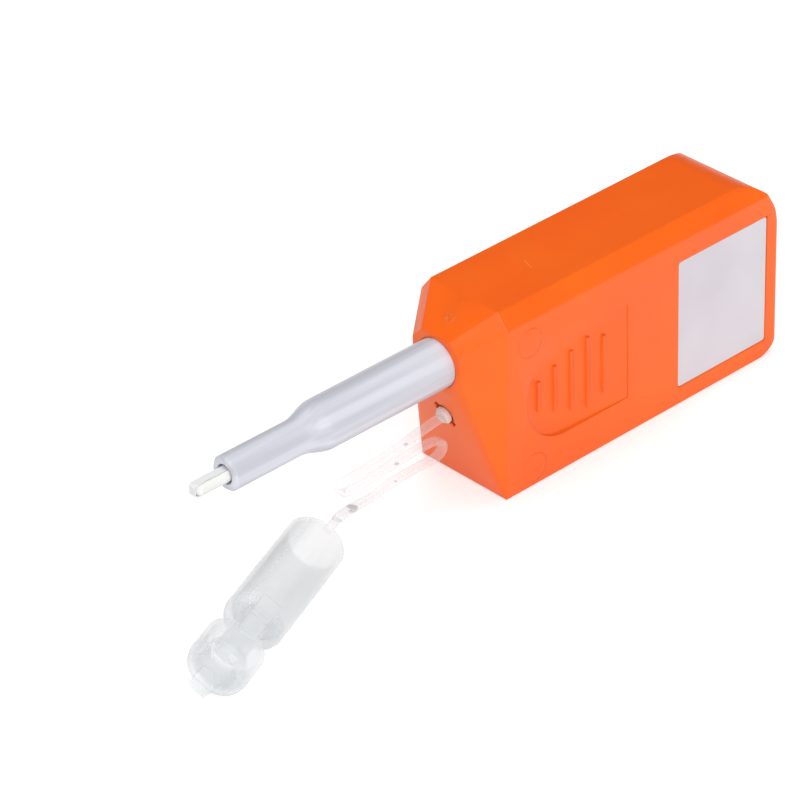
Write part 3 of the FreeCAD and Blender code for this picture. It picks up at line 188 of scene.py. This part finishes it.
orange = {
    "colour": rgb(255, 98, 0), "pale": rgb(255, 106, 1), "worn": rgb(255, 160, 96), "roughness": 0.38,
    "grain": 5200, "cloud": 60, "edge": 0.0003, "seam": 0.0006,
    "marks": [(-0.0225, None, 0.0252), (-0.022, None, 0.003)],
    "markRadius": 0.0024, "markEdge": 0.00012,
    "gate": (-0.0303, -0.0002, 0.0292), "gateRadius": 0.0012, "gateGrain": 2600,
    "scratch": (-0.0143, -0.0004), "scratchTurn": 72, "scratchAcross": (0.00003, 0.0001),
    "scratchAlong": (0.001, 0.0013), "scratchHeight": (0.0312, 0.0315),
}


def makeOrange():
    skin = Finish("orangePlastic", IOR=1.5, Specular_IOR_Level=0.45)
    x, y, z = skin.axes()
    radius, edge = orange["markRadius"], orange["markEdge"]
    rings = 0
    for mark in orange["marks"]:
        rings = skin.disc(mark, radius - edge, radius + edge) + rings
    gate = skin.disc(orange["gate"], orange["gateRadius"] * 0.4, orange["gateRadius"])
    gate = gate * skin.noise(orange["gateGrain"], detail=3).smooth(0.35, 0.65)
    lean = radians(orange["scratchTurn"])
    offX, offY = x - orange["scratch"][0], y - orange["scratch"][1]
    along, across = offX * cos(lean) + offY * sin(lean), offY * cos(lean) - offX * sin(lean)
    scratch = (1 - across.size().smooth(*orange["scratchAcross"])) \
        * (1 - along.size().smooth(*orange["scratchAlong"])) * z.smooth(*orange["scratchHeight"])
    cloud = skin.noise(orange["cloud"], detail=2)
    grain = skin.noise(orange["grain"], detail=2)
    # edges look rounded, but not at the seam between the halves
    away = y.size().smooth(orange["seam"] * 0.6, orange["seam"]) * 0.9 + 0.1
    flat = skin.node("ShaderNodeNewGeometry", result="Normal")
    worn = skin.blendNormals(away, flat, skin.softEdges(orange["edge"]))
    worn = skin.bump(grain, strength=0.05, distance=0.0001, over=worn)
    worn = skin.bump(rings, strength=1, distance=0.00012, over=worn)
    worn = skin.bump(gate, strength=0.8, distance=0.00015, over=worn)
    tinted = skin.blend(cloud.smooth(0.25, 0.75), orange["colour"], orange["pale"])
    return skin.feed(Base_Color=skin.blend(scratch * 0.7 + gate * 0.3, tinted, orange["worn"]),
                     Roughness=orange["roughness"] + grain.swing(0.1) + cloud.swing(0.08),
                     Normal=worn)


# satin grey nose tube, with flow streaks along it

grey = {"colour": rgb(199, 200, 209), "pale": rgb(220, 222, 231), "roughness": 0.38,
        "streaks": 620, "stretch": (0.03, 1, 1), "grain": 4200, "edge": 0.0003}


def makeGrey():
    skin = Finish("greyPlastic", IOR=1.48, Specular_IOR_Level=0.4)
    streaks = skin.noise(grey["streaks"], detail=2, where=skin.place(grey["stretch"]))
    grain = skin.noise(grey["grain"], detail=2)
    return skin.feed(Base_Color=skin.blend(streaks.smooth(0.3, 0.7), grey["colour"], grey["pale"]),
                     Roughness=grey["roughness"] + grain.swing(0.12) + streaks.swing(0.1),
                     Normal=skin.bump(grain, strength=0.04, distance=0.0001,
                                      over=skin.softEdges(grey["edge"])))


# bare paper-faced label

paper = {"colour": rgb(216, 210, 217), "pale": rgb(223, 218, 224), "roughness": 0.5,
         "fibre": 1800, "cloud": 70}


def makePaper():
    skin = Finish("labelPaper", IOR=1.45)
    fibre = skin.noise(paper["fibre"], detail=4)
    cloud = skin.noise(paper["cloud"], detail=2)
    return skin.feed(Base_Color=skin.blend(cloud.smooth(0.3, 0.7), paper["colour"], paper["pale"]),
                     Roughness=paper["roughness"] + fibre.swing(0.2),
                     Normal=skin.bump(fibre, strength=0.08, distance=0.0001))


# milky plastic of the cap and its lid, with a faint mould line along the tube

clear = {
    "colour": rgb(238, 241, 243), "thin": 0.27, "outline": 0.8, "roughness": 0.2,
    "flow": 240, "stretch": (0.5, 1, 1), "edge": 0.0002,
    "middle": (-0.06023, -0.00235, 0.0047), "sideways": (0.4051, -0.9141, 0.0166),
    "lineWidth": 0.00012, "lineHeight": (0.0075, 0.0082), "specks": 2400,
}


def makeClear():
    skin = Finish("clearPlastic", IOR=1.42, Specular_IOR_Level=0.5, Base_Color=clear["colour"])
    flow = skin.noise(clear["flow"], detail=3, where=skin.place(clear["stretch"]))
    specks = skin.noise(clear["specks"], detail=1)
    x, y, z = skin.axes()
    across = 0
    for here, middle, share in zip((x, y, z), clear["middle"], clear["sideways"]):
        across = (here - middle) * share + across
    line = 1 - across.size().smooth(clear["lineWidth"] * 0.5, clear["lineWidth"])
    line = line * specks.smooth(0.3, 0.6) * z.smooth(*clear["lineHeight"])
    dense = skin.facing() ** 2.5 * (clear["outline"] - clear["thin"])
    return skin.feed(Alpha=clear["thin"] + dense + flow.swing(0.08) + line * 0.3,
                     Roughness=clear["roughness"] + flow.swing(0.1),
                     Normal=skin.bump(flow, strength=0.06, distance=0.0002,
                                      over=skin.softEdges(clear["edge"])))


# softer translucent plastic of the strap, with grey dots painted at four spots, and of the cloudier
# plug

strapSkin = {
    "colour": rgb(246, 246, 248), "thin": 0.14, "outline": 0.62, "roughness": 0.25, "flow": 400,
    # plug colour: near-white with a painted pink glow, standing in for orange light from the housing
    # around the plug
    "plugPaintedGlowColour": rgb(255, 232, 225), "plugThin": 0.72, "dotGrey": rgb(160, 160, 168),
    "greyDots": [((-0.0393, 0.0003, 0.0108), 0.0005), ((-0.0411, 0.0005, 0.0082), 0.0005),
             ((-0.0419, 0, 0.0054), 0.0005), ((-0.0525, -0.0022, 0.0073), 0.0011)],
}


def makeStrapSkin(name, colour, thin):
    skin = Finish(name, IOR=1.42, Specular_IOR_Level=0.4)
    flow = skin.noise(strapSkin["flow"], detail=2)
    dotMask = 0
    for centre, radius in strapSkin["greyDots"]:
        dotMask = skin.disc(centre, radius * 0.6, radius) + dotMask
    dense = skin.facing() ** 2 * (strapSkin["outline"] - thin)
    return skin.feed(Base_Color=skin.blend(dotMask, colour, strapSkin["dotGrey"]),
                     Alpha=thin + dense + flow.swing(0.1) + dotMask * 0.3,
                     Roughness=strapSkin["roughness"] + flow.swing(0.1),
                     Normal=skin.bump(flow, strength=0.06, distance=0.0002))


# inner parts: sprung steel, acetal, felt and cleaning tape

inner = {
    "steel": (rgb(188, 188, 192), rgb(214, 214, 218)), "steelRoughness": 0.2,
    "drawn": 900, "drawnStretch": (0.1, 1, 1),
    "whiteAcetal": (rgb(234, 234, 230), rgb(246, 246, 243)),
    "blackAcetal": (rgb(34, 34, 36), rgb(50, 50, 53)),
    "acetalCloud": 150, "acetalGrain": 3000, "acetalRoughness": 0.38, "acetalEdge": 0.0002,
    "felt": (rgb(80, 80, 86), rgb(112, 112, 118)), "feltFibre": 6000,
    "tape": (rgb(226, 228, 230), rgb(248, 248, 247)), "threads": 42000,
}


def makeSteel():
    skin = Finish("springSteel", Metallic=1.0, IOR=2.5)
    drawn = skin.noise(inner["drawn"], detail=3, where=skin.place(inner["drawnStretch"]))
    return skin.feed(Base_Color=skin.blend(drawn, *inner["steel"]),
                     Roughness=inner["steelRoughness"] + drawn * 0.18)


def makeAcetal(name):
    skin = Finish(name, IOR=1.48)
    cloud = skin.noise(inner["acetalCloud"], detail=2)
    grain = skin.noise(inner["acetalGrain"], detail=2)
    return skin.feed(Base_Color=skin.blend(cloud, *inner[name]),
                     Roughness=inner["acetalRoughness"] + grain.swing(0.1),
                     Normal=skin.bump(grain, strength=0.04, distance=0.0001,
                                      over=skin.softEdges(inner["acetalEdge"])))


def makeFelt():
    skin = Finish("pressedFelt", Roughness=0.95, Sheen_Weight=0.4)
    fibre = skin.noise(inner["feltFibre"], detail=6)
    return skin.feed(Base_Color=skin.blend(fibre, *inner["felt"]),
                     Normal=skin.bump(fibre, strength=0.6, distance=0.0002))


def makeTape():
    skin = Finish("cleaningTape", Roughness=0.9, Sheen_Weight=0.2)
    x, y, z = skin.axes()
    weave = (y * inner["threads"]).wave() * ((x + z) * inner["threads"]).wave() * 0.5 + 0.5
    return skin.feed(Base_Color=skin.blend(weave, *inner["tape"]),
                     Normal=skin.bump(weave, strength=0.3, distance=0.00005))


finishes = {
    "orange_plastic": makeOrange(), "grey_plastic": makeGrey(), "label_white": makePaper(),
    "clear_plastic": makeClear(),
    "strap_plastic": makeStrapSkin("strapPlastic", strapSkin["colour"], strapSkin["thin"]),
    "steel": makeSteel(), "acetal_white": makeAcetal("whiteAcetal"),
    "acetal_black": makeAcetal("blackAcetal"), "felt": makeFelt(), "tape_cloth": makeTape(),
}
# the plug gets a finish of its own, with the pink glow of the orange housing painted into its colour
plugPaintedGlowFinish = makeStrapSkin("plugPlasticPaintedGlow", strapSkin["plugPaintedGlowColour"], strapSkin["plugThin"])
slotOf = {part["node"]: part["material_slot"] for part in record["subparts"]}
bodyOf = {name: body for body, names in record["behaviour"]["bodies"].items() for name in names}
for name, slot in slotOf.items():
    mesh = nodes[name].data
    mesh.materials.clear()
    mesh.materials.append(plugPaintedGlowFinish if name == "tether_plug" else finishes[slot])
print("finishes made:", len(finishes) + 1)


def addObject(name, data):
    made = bpy.data.objects.new(name, data)
    scene.collection.objects.link(made)
    return made


# camera

view = {"azimuth": -41.817, "elevation": 32.747, "roll": -2.111, "distance": 0.589844,
        "aim": (-0.039041, 0.001561, 0.018046), "lens": 180, "sensor": 36, "near": 0.01, "far": 20}


def makeCamera():
    turn, tilt, roll = (radians(view[word]) for word in ("azimuth", "elevation", "roll"))
    back = Vector((sin(turn) * cos(tilt), -cos(turn) * cos(tilt), sin(tilt)))
    right = Vector((cos(turn), sin(turn), 0))
    up = back.cross(right)
    right, up = right * cos(roll) + up * sin(roll), up * cos(roll) - right * sin(roll)
    data = bpy.data.cameras.new("camera")
    data.lens, data.sensor_width = view["lens"], view["sensor"]
    data.clip_start, data.clip_end = view["near"], view["far"]
    place = Matrix((right, up, back)).transposed().to_4x4()
    place.translation = Vector(view["aim"]) + back * view["distance"]
    camera = addObject("camera", data)
    camera.matrix_world = place
    scene.camera = camera


makeCamera()
print("camera set")


# flat strap between the housing and the cap

strap = {
    "width": 0.0017, "thick": 0.0007, "steps": 10, "corner": 0.25, "cornerSteps": 3,
    "route": [
        (-0.0324, 0, 0.0126), (-0.0368, 0.0002, 0.01185), (-0.0418, 0.0004, 0.01075),
        (-0.0472, 0.0005, 0.0102), (-0.0524, 0.0005, 0.0101), (-0.0527, 0.0005, 0.0079),
        (-0.047, 0.0005, 0.008), (-0.041, 0.0005, 0.0086), (-0.0356, 0.0004, 0.009),
        (-0.0319, 0.0003, 0.0086), (-0.0322, 0.0002, 0.0058), (-0.037, 0.0001, 0.006),
        (-0.0425, -0.0001, 0.0061), (-0.0475, -0.0008, 0.0058), (-0.0523, -0.0017, 0.0069),
        (-0.05695, -0.00369, 0.00805)],
}


def followRoute(points, steps):
    # points along one smooth line that has the route's points as its controls
    curve = bpy.data.curves.new("route", "CURVE")
    curve.dimensions = "3D"
    curve.resolution_u = steps
    line = curve.splines.new("NURBS")
    line.points.add(len(points) - 1)
    for spot, point in zip(line.points, points):
        spot.co = (*point, 1)
    line.order_u = 3
    line.use_endpoint_u = True
    holder = bpy.data.objects.new("route", curve)
    mesh = bpy.data.meshes.new_from_object(holder)
    path = [vertex.co.copy() for vertex in mesh.vertices]
    bpy.data.objects.remove(holder)
    bpy.data.meshes.remove(mesh)
    return path


def bandSection(width, thick, corner, steps):
    # an oblong with rounded corners, as points (across, up); corner is the radius over the thickness
    radius = thick * corner
    spots = []
    for sideways, upright, start in ((1, 1, 0), (-1, 1, 90), (-1, -1, 180), (1, -1, 270)):
        for step in range(steps + 1):
            angle = radians(start + step * 90 / steps)
            spots.append((sideways * (width / 2 - radius) + radius * cos(angle),
                          upright * (thick / 2 - radius) + radius * sin(angle)))
    return spots


def makeStrap():
    path = followRoute(strap["route"], strap["steps"])
    section = bandSection(strap["width"], strap["thick"], strap["corner"], strap["cornerSteps"])
    mould = bmesh.new()
    rings = []
    for k, point in enumerate(path):
        along = (path[min(k + 1, len(path) - 1)] - path[max(k - 1, 0)]).normalized()
        across = (Vector((0, 1, 0)) - along * along.y).normalized()
        upright = along.cross(across)
        rings.append([mould.verts.new(point + across * a + upright * b) for a, b in section])
    count = len(section)
    for one, two in zip(rings, rings[1:]):
        for k in range(count):
            mould.faces.new((one[k], one[(k + 1) % count], two[(k + 1) % count], two[k]))
    mould.faces.new(rings[0][::-1])
    mould.faces.new(rings[-1])
    bmesh.ops.recalc_face_normals(mould, faces=mould.faces)
    mesh = bpy.data.meshes.new("strapBand")
    mould.to_mesh(mesh)
    mould.free()
    for face in mesh.polygons:
        face.use_smooth = len(face.vertices) == 4
    mesh.materials.append(finishes["strap_plastic"])
    band = addObject("strapBand", mesh)
    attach(band, "housing")
    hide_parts("tether_strap")


makeStrap()


# pieces made from merged copies of the frame's own

merged = {"distance": 0.0000005, "sharpAngle": 26}


def mergedCopy(node, reshape=None):
    mesh = nodes[node].data.copy()
    mould = bmesh.new()
    mould.from_mesh(mesh)
    bmesh.ops.remove_doubles(mould, verts=mould.verts, dist=merged["distance"])
    if reshape:
        reshape(mould)
    mould.to_mesh(mesh)
    mould.free()
    for face in mesh.polygons:
        face.use_smooth = True
    mesh.set_sharp_from_angle(angle=radians(merged["sharpAngle"]))
    return mesh


def standIn(node, mesh):
    piece = addObject(node + "Finished", mesh)
    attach(piece, bodyOf[node])
    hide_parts(node)
    return piece


def cutAcross(mould, faces, place, direction):
    around = faces + list({edge for face in faces for edge in face.edges}
                          | {vertex for face in faces for vertex in face.verts})
    bmesh.ops.bisect_plane(mould, geom=around, plane_co=place, plane_no=direction)


# housing halves, with the upper rear corner rounded wider and the lower front corners pointed

shell = {
    "halves": ["housing_near", "housing_far"], "rear": 0.03175, "high": 0.0316,
    "moulded": 0.0044, "wider": 0.009, "cuts": 24,
    # the change reaches wallReach in from the rear low down and topReach near the top; it grows
    # from the one to the other over growOver, starting growFrom below the top
    "wallReach": 0.003, "topReach": 0.016, "growFrom": 0.0056, "growOver": 0.0029,
    # lower front corners: points below heelHeight, outside heelSide and before heelBefore go to heel
    "heelHeight": 0.00001, "heelSide": 0.0078, "heelBefore": -0.0265, "heel": -0.028,
}


def portion(value, start, end):
    return min(max((value - start) / (end - start), 0), 1)


def setBack(radius, height):
    # how far a rear corner of this radius stands in from the rear face at this height
    rise = min(max(height - shell["high"] + radius, 0), radius)
    return radius - (radius ** 2 - rise ** 2) ** 0.5


def roundCorner(mould):
    bottom = shell["high"] - shell["wider"]
    front = shell["rear"] - shell["topReach"]
    for k in range(shell["cuts"]):
        height = bottom + shell["wider"] * (k + 0.5) / shell["cuts"]
        near = [face for face in mould.faces if max(vertex.co.x for vertex in face.verts) > front]
        cutAcross(mould, near, (0, 0, height), (0, 0, 1))
    for vertex in mould.verts:
        x, y, z = vertex.co
        if z < shell["heelHeight"] and abs(y) > shell["heelSide"] and x < shell["heelBefore"]:
            vertex.co.x = shell["heel"]
        edge = shell["rear"] - setBack(shell["moulded"], z)
        high = portion(z - shell["high"] + shell["growFrom"], 0, shell["growOver"])
        start = shell["rear"] - shell["wallReach"] - (shell["topReach"] - shell["wallReach"]) * high
        further = setBack(shell["wider"], z) - setBack(shell["moulded"], z)
        vertex.co.x -= portion(x, start, edge) * further


def roundShell(node):
    half = addObject("half", mergedCopy(node, roundCorner))
    even = half.modifiers.new("flatFaces", "WEIGHTED_NORMAL")
    even.keep_sharp = True
    ready = half.evaluated_get(bpy.context.evaluated_depsgraph_get())
    mesh = bpy.data.meshes.new_from_object(ready)
    bpy.data.objects.remove(half)
    standIn(node, mesh)
    print(node, "rounded:", len(mesh.polygons), "faces")


for node in shell["halves"]:
    roundShell(node)


# living hinge of the cap, cut into slices along the lid joint's axis, across the band where it bends

hinge = {"joint": "lid_hinge", "mount": "neck_bore", "reach": 0.0005, "cuts": 8}


def makeHinge():
    joint = next(row for row in record["behaviour"]["joints"] if row["name"] == hinge["joint"])
    mount = next(row for row in record["mounts"] if row["name"] == hinge["mount"])
    middle, along = Vector(joint["pos_m"]), Vector(mount["axis"]).normalized()
    reach = hinge["reach"]

    def slices(mould):
        for k in range(1, hinge["cuts"]):
            place = middle + along * reach * (2 * k / hinge["cuts"] - 1)
            cutAcross(mould, list(mould.faces), place, along)

    web = addObject("hingeWeb", mergedCopy("lid_hinge_web", slices))
    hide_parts("lid_hinge_web")
    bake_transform(web)
    print("hinge web cut:", len(web.data.polygons), "faces")


makeHinge()


# spring and tape runs, each stood in by a merged copy with a mesh of its own; the table lists the
# nose's travel and where each run is fixed

shortening = {"travel": 0.008, "fixedEnds": {"return_spring": -0.0047, "supply_tape_run": 0.0222,
                                             "return_tape_run": 0.0103}}
for node, fixedEnd in shortening["fixedEnds"].items():
    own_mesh(standIn(node, mergedCopy(node)))
print("shortening pieces made:", len(shortening["fixedEnds"]))


# tape wound on the two reels

wound = {
    "supply_tape_roll": {"centre": (0.0175, 0, 0.0122), "inner": 0.00344, "outer": 0.0086,
                         "turns": 25, "seed": 3},
    "used_tape_roll": {"centre": (-0.007, 0, 0.0103), "inner": 0.00304, "outer": 0.0046,
                       "turns": 7, "seed": 8},
}
tape = {"width": 0.0012, "thick": 0.00016, "slack": 0.00002, "turnSteps": 40}
tapeSockets = {
    "Inner Radius": "Float", "Outer Radius": "Float", "Turns": "Float", "Tape Width": "Float",
    "Tape Thickness": "Float", "Slack": "Float", "Seed": "Int", "Centre": "Vector",
    "Material": "Material",
}


def makeWinder():
    # a spiral band between two radii, with each turn a little off its true circle
    tree = bpy.data.node_groups.new("tapeWinder", "GeometryNodeTree")
    tree.interface.new_socket("Geometry", in_out="OUTPUT", socket_type="NodeSocketGeometry")
    for word, kind in tapeSockets.items():
        tree.interface.new_socket(word, in_out="INPUT", socket_type="NodeSocket" + kind)

    def add(kind, links=None, **settings):
        made = tree.nodes.new(kind)
        for key, value in settings.items():
            setattr(made, key, value)
        for key, value in (links or {}).items():
            if isinstance(value, bpy.types.NodeSocket):
                tree.links.new(value, made.inputs[key])
            else:
                made.inputs[key].default_value = value
        return made

    asked = add("NodeGroupInput").outputs
    spiral = add("GeometryNodeCurveSpiral", {
        "Resolution": tape["turnSteps"], "Rotations": asked["Turns"],
        "Start Radius": asked["Inner Radius"], "End Radius": asked["Outer Radius"], "Height": 0.0})
    wander = add("FunctionNodeRandomValue", {
        "Min": (-1, -1, 0), "Max": (1, 1, 0), "Seed": asked["Seed"]}, data_type="FLOAT_VECTOR")
    offset = add("ShaderNodeVectorMath", {
        0: wander.outputs[0], "Scale": asked["Slack"]}, operation="SCALE")
    moved = add("GeometryNodeSetPosition", {
        "Geometry": spiral.outputs[0], "Offset": offset.outputs[0]})
    section = add("GeometryNodeCurvePrimitiveQuadrilateral", {
        "Width": asked["Tape Thickness"], "Height": asked["Tape Width"]}, mode="RECTANGLE")
    band = add("GeometryNodeCurveToMesh", {
        "Curve": moved.outputs[0], "Profile Curve": section.outputs[0], "Fill Caps": True})
    stood = add("GeometryNodeTransform", {
        "Geometry": band.outputs[0], "Translation": asked["Centre"], "Rotation": (radians(90), 0, 0)})
    real = add("GeometryNodeRealizeInstances", {"Geometry": stood.outputs[0]})
    dressed = add("GeometryNodeSetMaterial", {
        "Geometry": real.outputs[0], "Material": asked["Material"]})
    add("NodeGroupOutput", {"Geometry": dressed.outputs[0]})
    return tree


def windTape(tree, node, shape):
    holder = addObject("winding", bpy.data.meshes.new("winding"))
    winder = holder.modifiers.new("winder", "NODES")
    winder.node_group = tree
    asked = {
        "Inner Radius": shape["inner"] + tape["thick"] / 2,
        "Outer Radius": shape["outer"] - tape["thick"], "Turns": float(shape["turns"]),
        "Tape Width": tape["width"], "Tape Thickness": tape["thick"], "Slack": tape["slack"],
        "Seed": shape["seed"], "Centre": shape["centre"], "Material": finishes["tape_cloth"],
    }
    for item in tree.interface.items_tree:
        if item.item_type == "SOCKET" and item.in_out == "INPUT":
            winder[item.identifier] = asked[item.name]
    ready = holder.evaluated_get(bpy.context.evaluated_depsgraph_get())
    mesh = bpy.data.meshes.new_from_object(ready)
    bpy.data.objects.remove(holder)
    standIn(node, mesh)
    print(node, "wound:", len(mesh.polygons), "faces")


winder = makeWinder()
for node, shape in wound.items():
    windTape(winder, node, shape)


# floor, sky and lamps

studio = {
    "floor": 0.82, "lift": 0.42, "fade": (0.2, 1.0), "reach": 6, "drop": 0.0002,
    "sky": 0.5, "gleam": 0.07, "lampAim": (-0.01, 0, 0.012),
    "lamps": [
        # name, place, size, power, seen in gloss
        ("sideLamp", (-0.25, -0.75, 0.42), 0.5, 3.3, True),
        ("topLamp", (0.15, 0.15, 0.85), 0.6, 1.9, False),
        ("frontLamp", (-0.75, -0.1, 0.30), 0.4, 1.2, True),
    ],
}


def seenRays(tree, *words):
    # 1 for rays that look at the backdrop itself: straight, refracted or as the words say
    rays = tree.nodes.new("ShaderNodeLightPath")
    total = rays.outputs["Is Camera Ray"]
    for word in ("Is Transmission Ray", *words):
        add = tree.nodes.new("ShaderNodeMath")
        add.operation = "MAXIMUM"
        tree.links.new(total, add.inputs[0])
        tree.links.new(rays.outputs[word], add.inputs[1])
        total = add.outputs[0]
    return total


def makeFloor():
    # matt and pale, and glowing more with distance, so that its far part stays white
    ground = Finish("paleFloor")
    tree = ground.tree
    tree.nodes.remove(ground.surface)
    x, y, _ = ground.axes()
    far = ((x ** 2 + y ** 2) ** 0.5).smooth(*studio["fade"])
    seen = Value(ground, seenRays(tree, "Is Glossy Ray"))
    glow = seen * (far * (1 - studio["lift"]) + studio["lift"])
    matt = ground.node("ShaderNodeBsdfDiffuse", {}, {"Color": (studio["floor"],) * 3 + (1,)})
    lit = ground.node("ShaderNodeEmission", {}, {"Strength": glow})
    both = ground.node("ShaderNodeAddShader", {}, {0: matt, 1: lit})
    tree.links.new(both.socket, tree.nodes["Material Output"].inputs["Surface"])
    mesh = bpy.data.meshes.new("floor")
    corners = [(-1, -1), (1, -1), (1, 1), (-1, 1)]
    mesh.from_pydata([(a * studio["reach"], b * studio["reach"], -studio["drop"]) for a, b in corners],
                     [], [(0, 1, 2, 3)])
    mesh.materials.append(ground.material)
    floor = addObject("floor", mesh)


def makeSky():
    # dim in reflections and white behind everything
    world = bpy.data.worlds.new("studio")
    world.use_nodes = True
    tree = world.node_tree
    sky = tree.nodes["Background"]
    sky.inputs["Color"].default_value = (1, 1, 1, 1)
    # a mix node takes its two numbers at inputs 2 and 3
    level, white = tree.nodes.new("ShaderNodeMix"), tree.nodes.new("ShaderNodeMix")
    level.inputs[2].default_value, level.inputs[3].default_value = studio["sky"], studio["gleam"]
    white.inputs[3].default_value = 1
    rays = tree.nodes.new("ShaderNodeLightPath")
    tree.links.new(rays.outputs["Is Glossy Ray"], level.inputs[0])
    tree.links.new(seenRays(tree), white.inputs[0])
    tree.links.new(level.outputs[0], white.inputs[2])
    tree.links.new(white.outputs[0], sky.inputs["Strength"])
    scene.world = world


def makeLamps():
    for name, spot, size, power, inGloss in studio["lamps"]:
        data = bpy.data.lights.new(name, "AREA")
        data.shape, data.size, data.energy = "DISK", size, power
        lamp = addObject(name, data)
        lamp.location = spot
        aim = Vector(studio["lampAim"]) - Vector(spot)
        lamp.rotation_euler = aim.to_track_quat("-Z", "Y").to_euler()
        lamp.visible_glossy = inGloss


makeFloor()
makeSky()
makeLamps()
scene.view_settings.view_transform = "Standard"
scene.cycles.transparent_max_bounces = 32
print("studio lit")
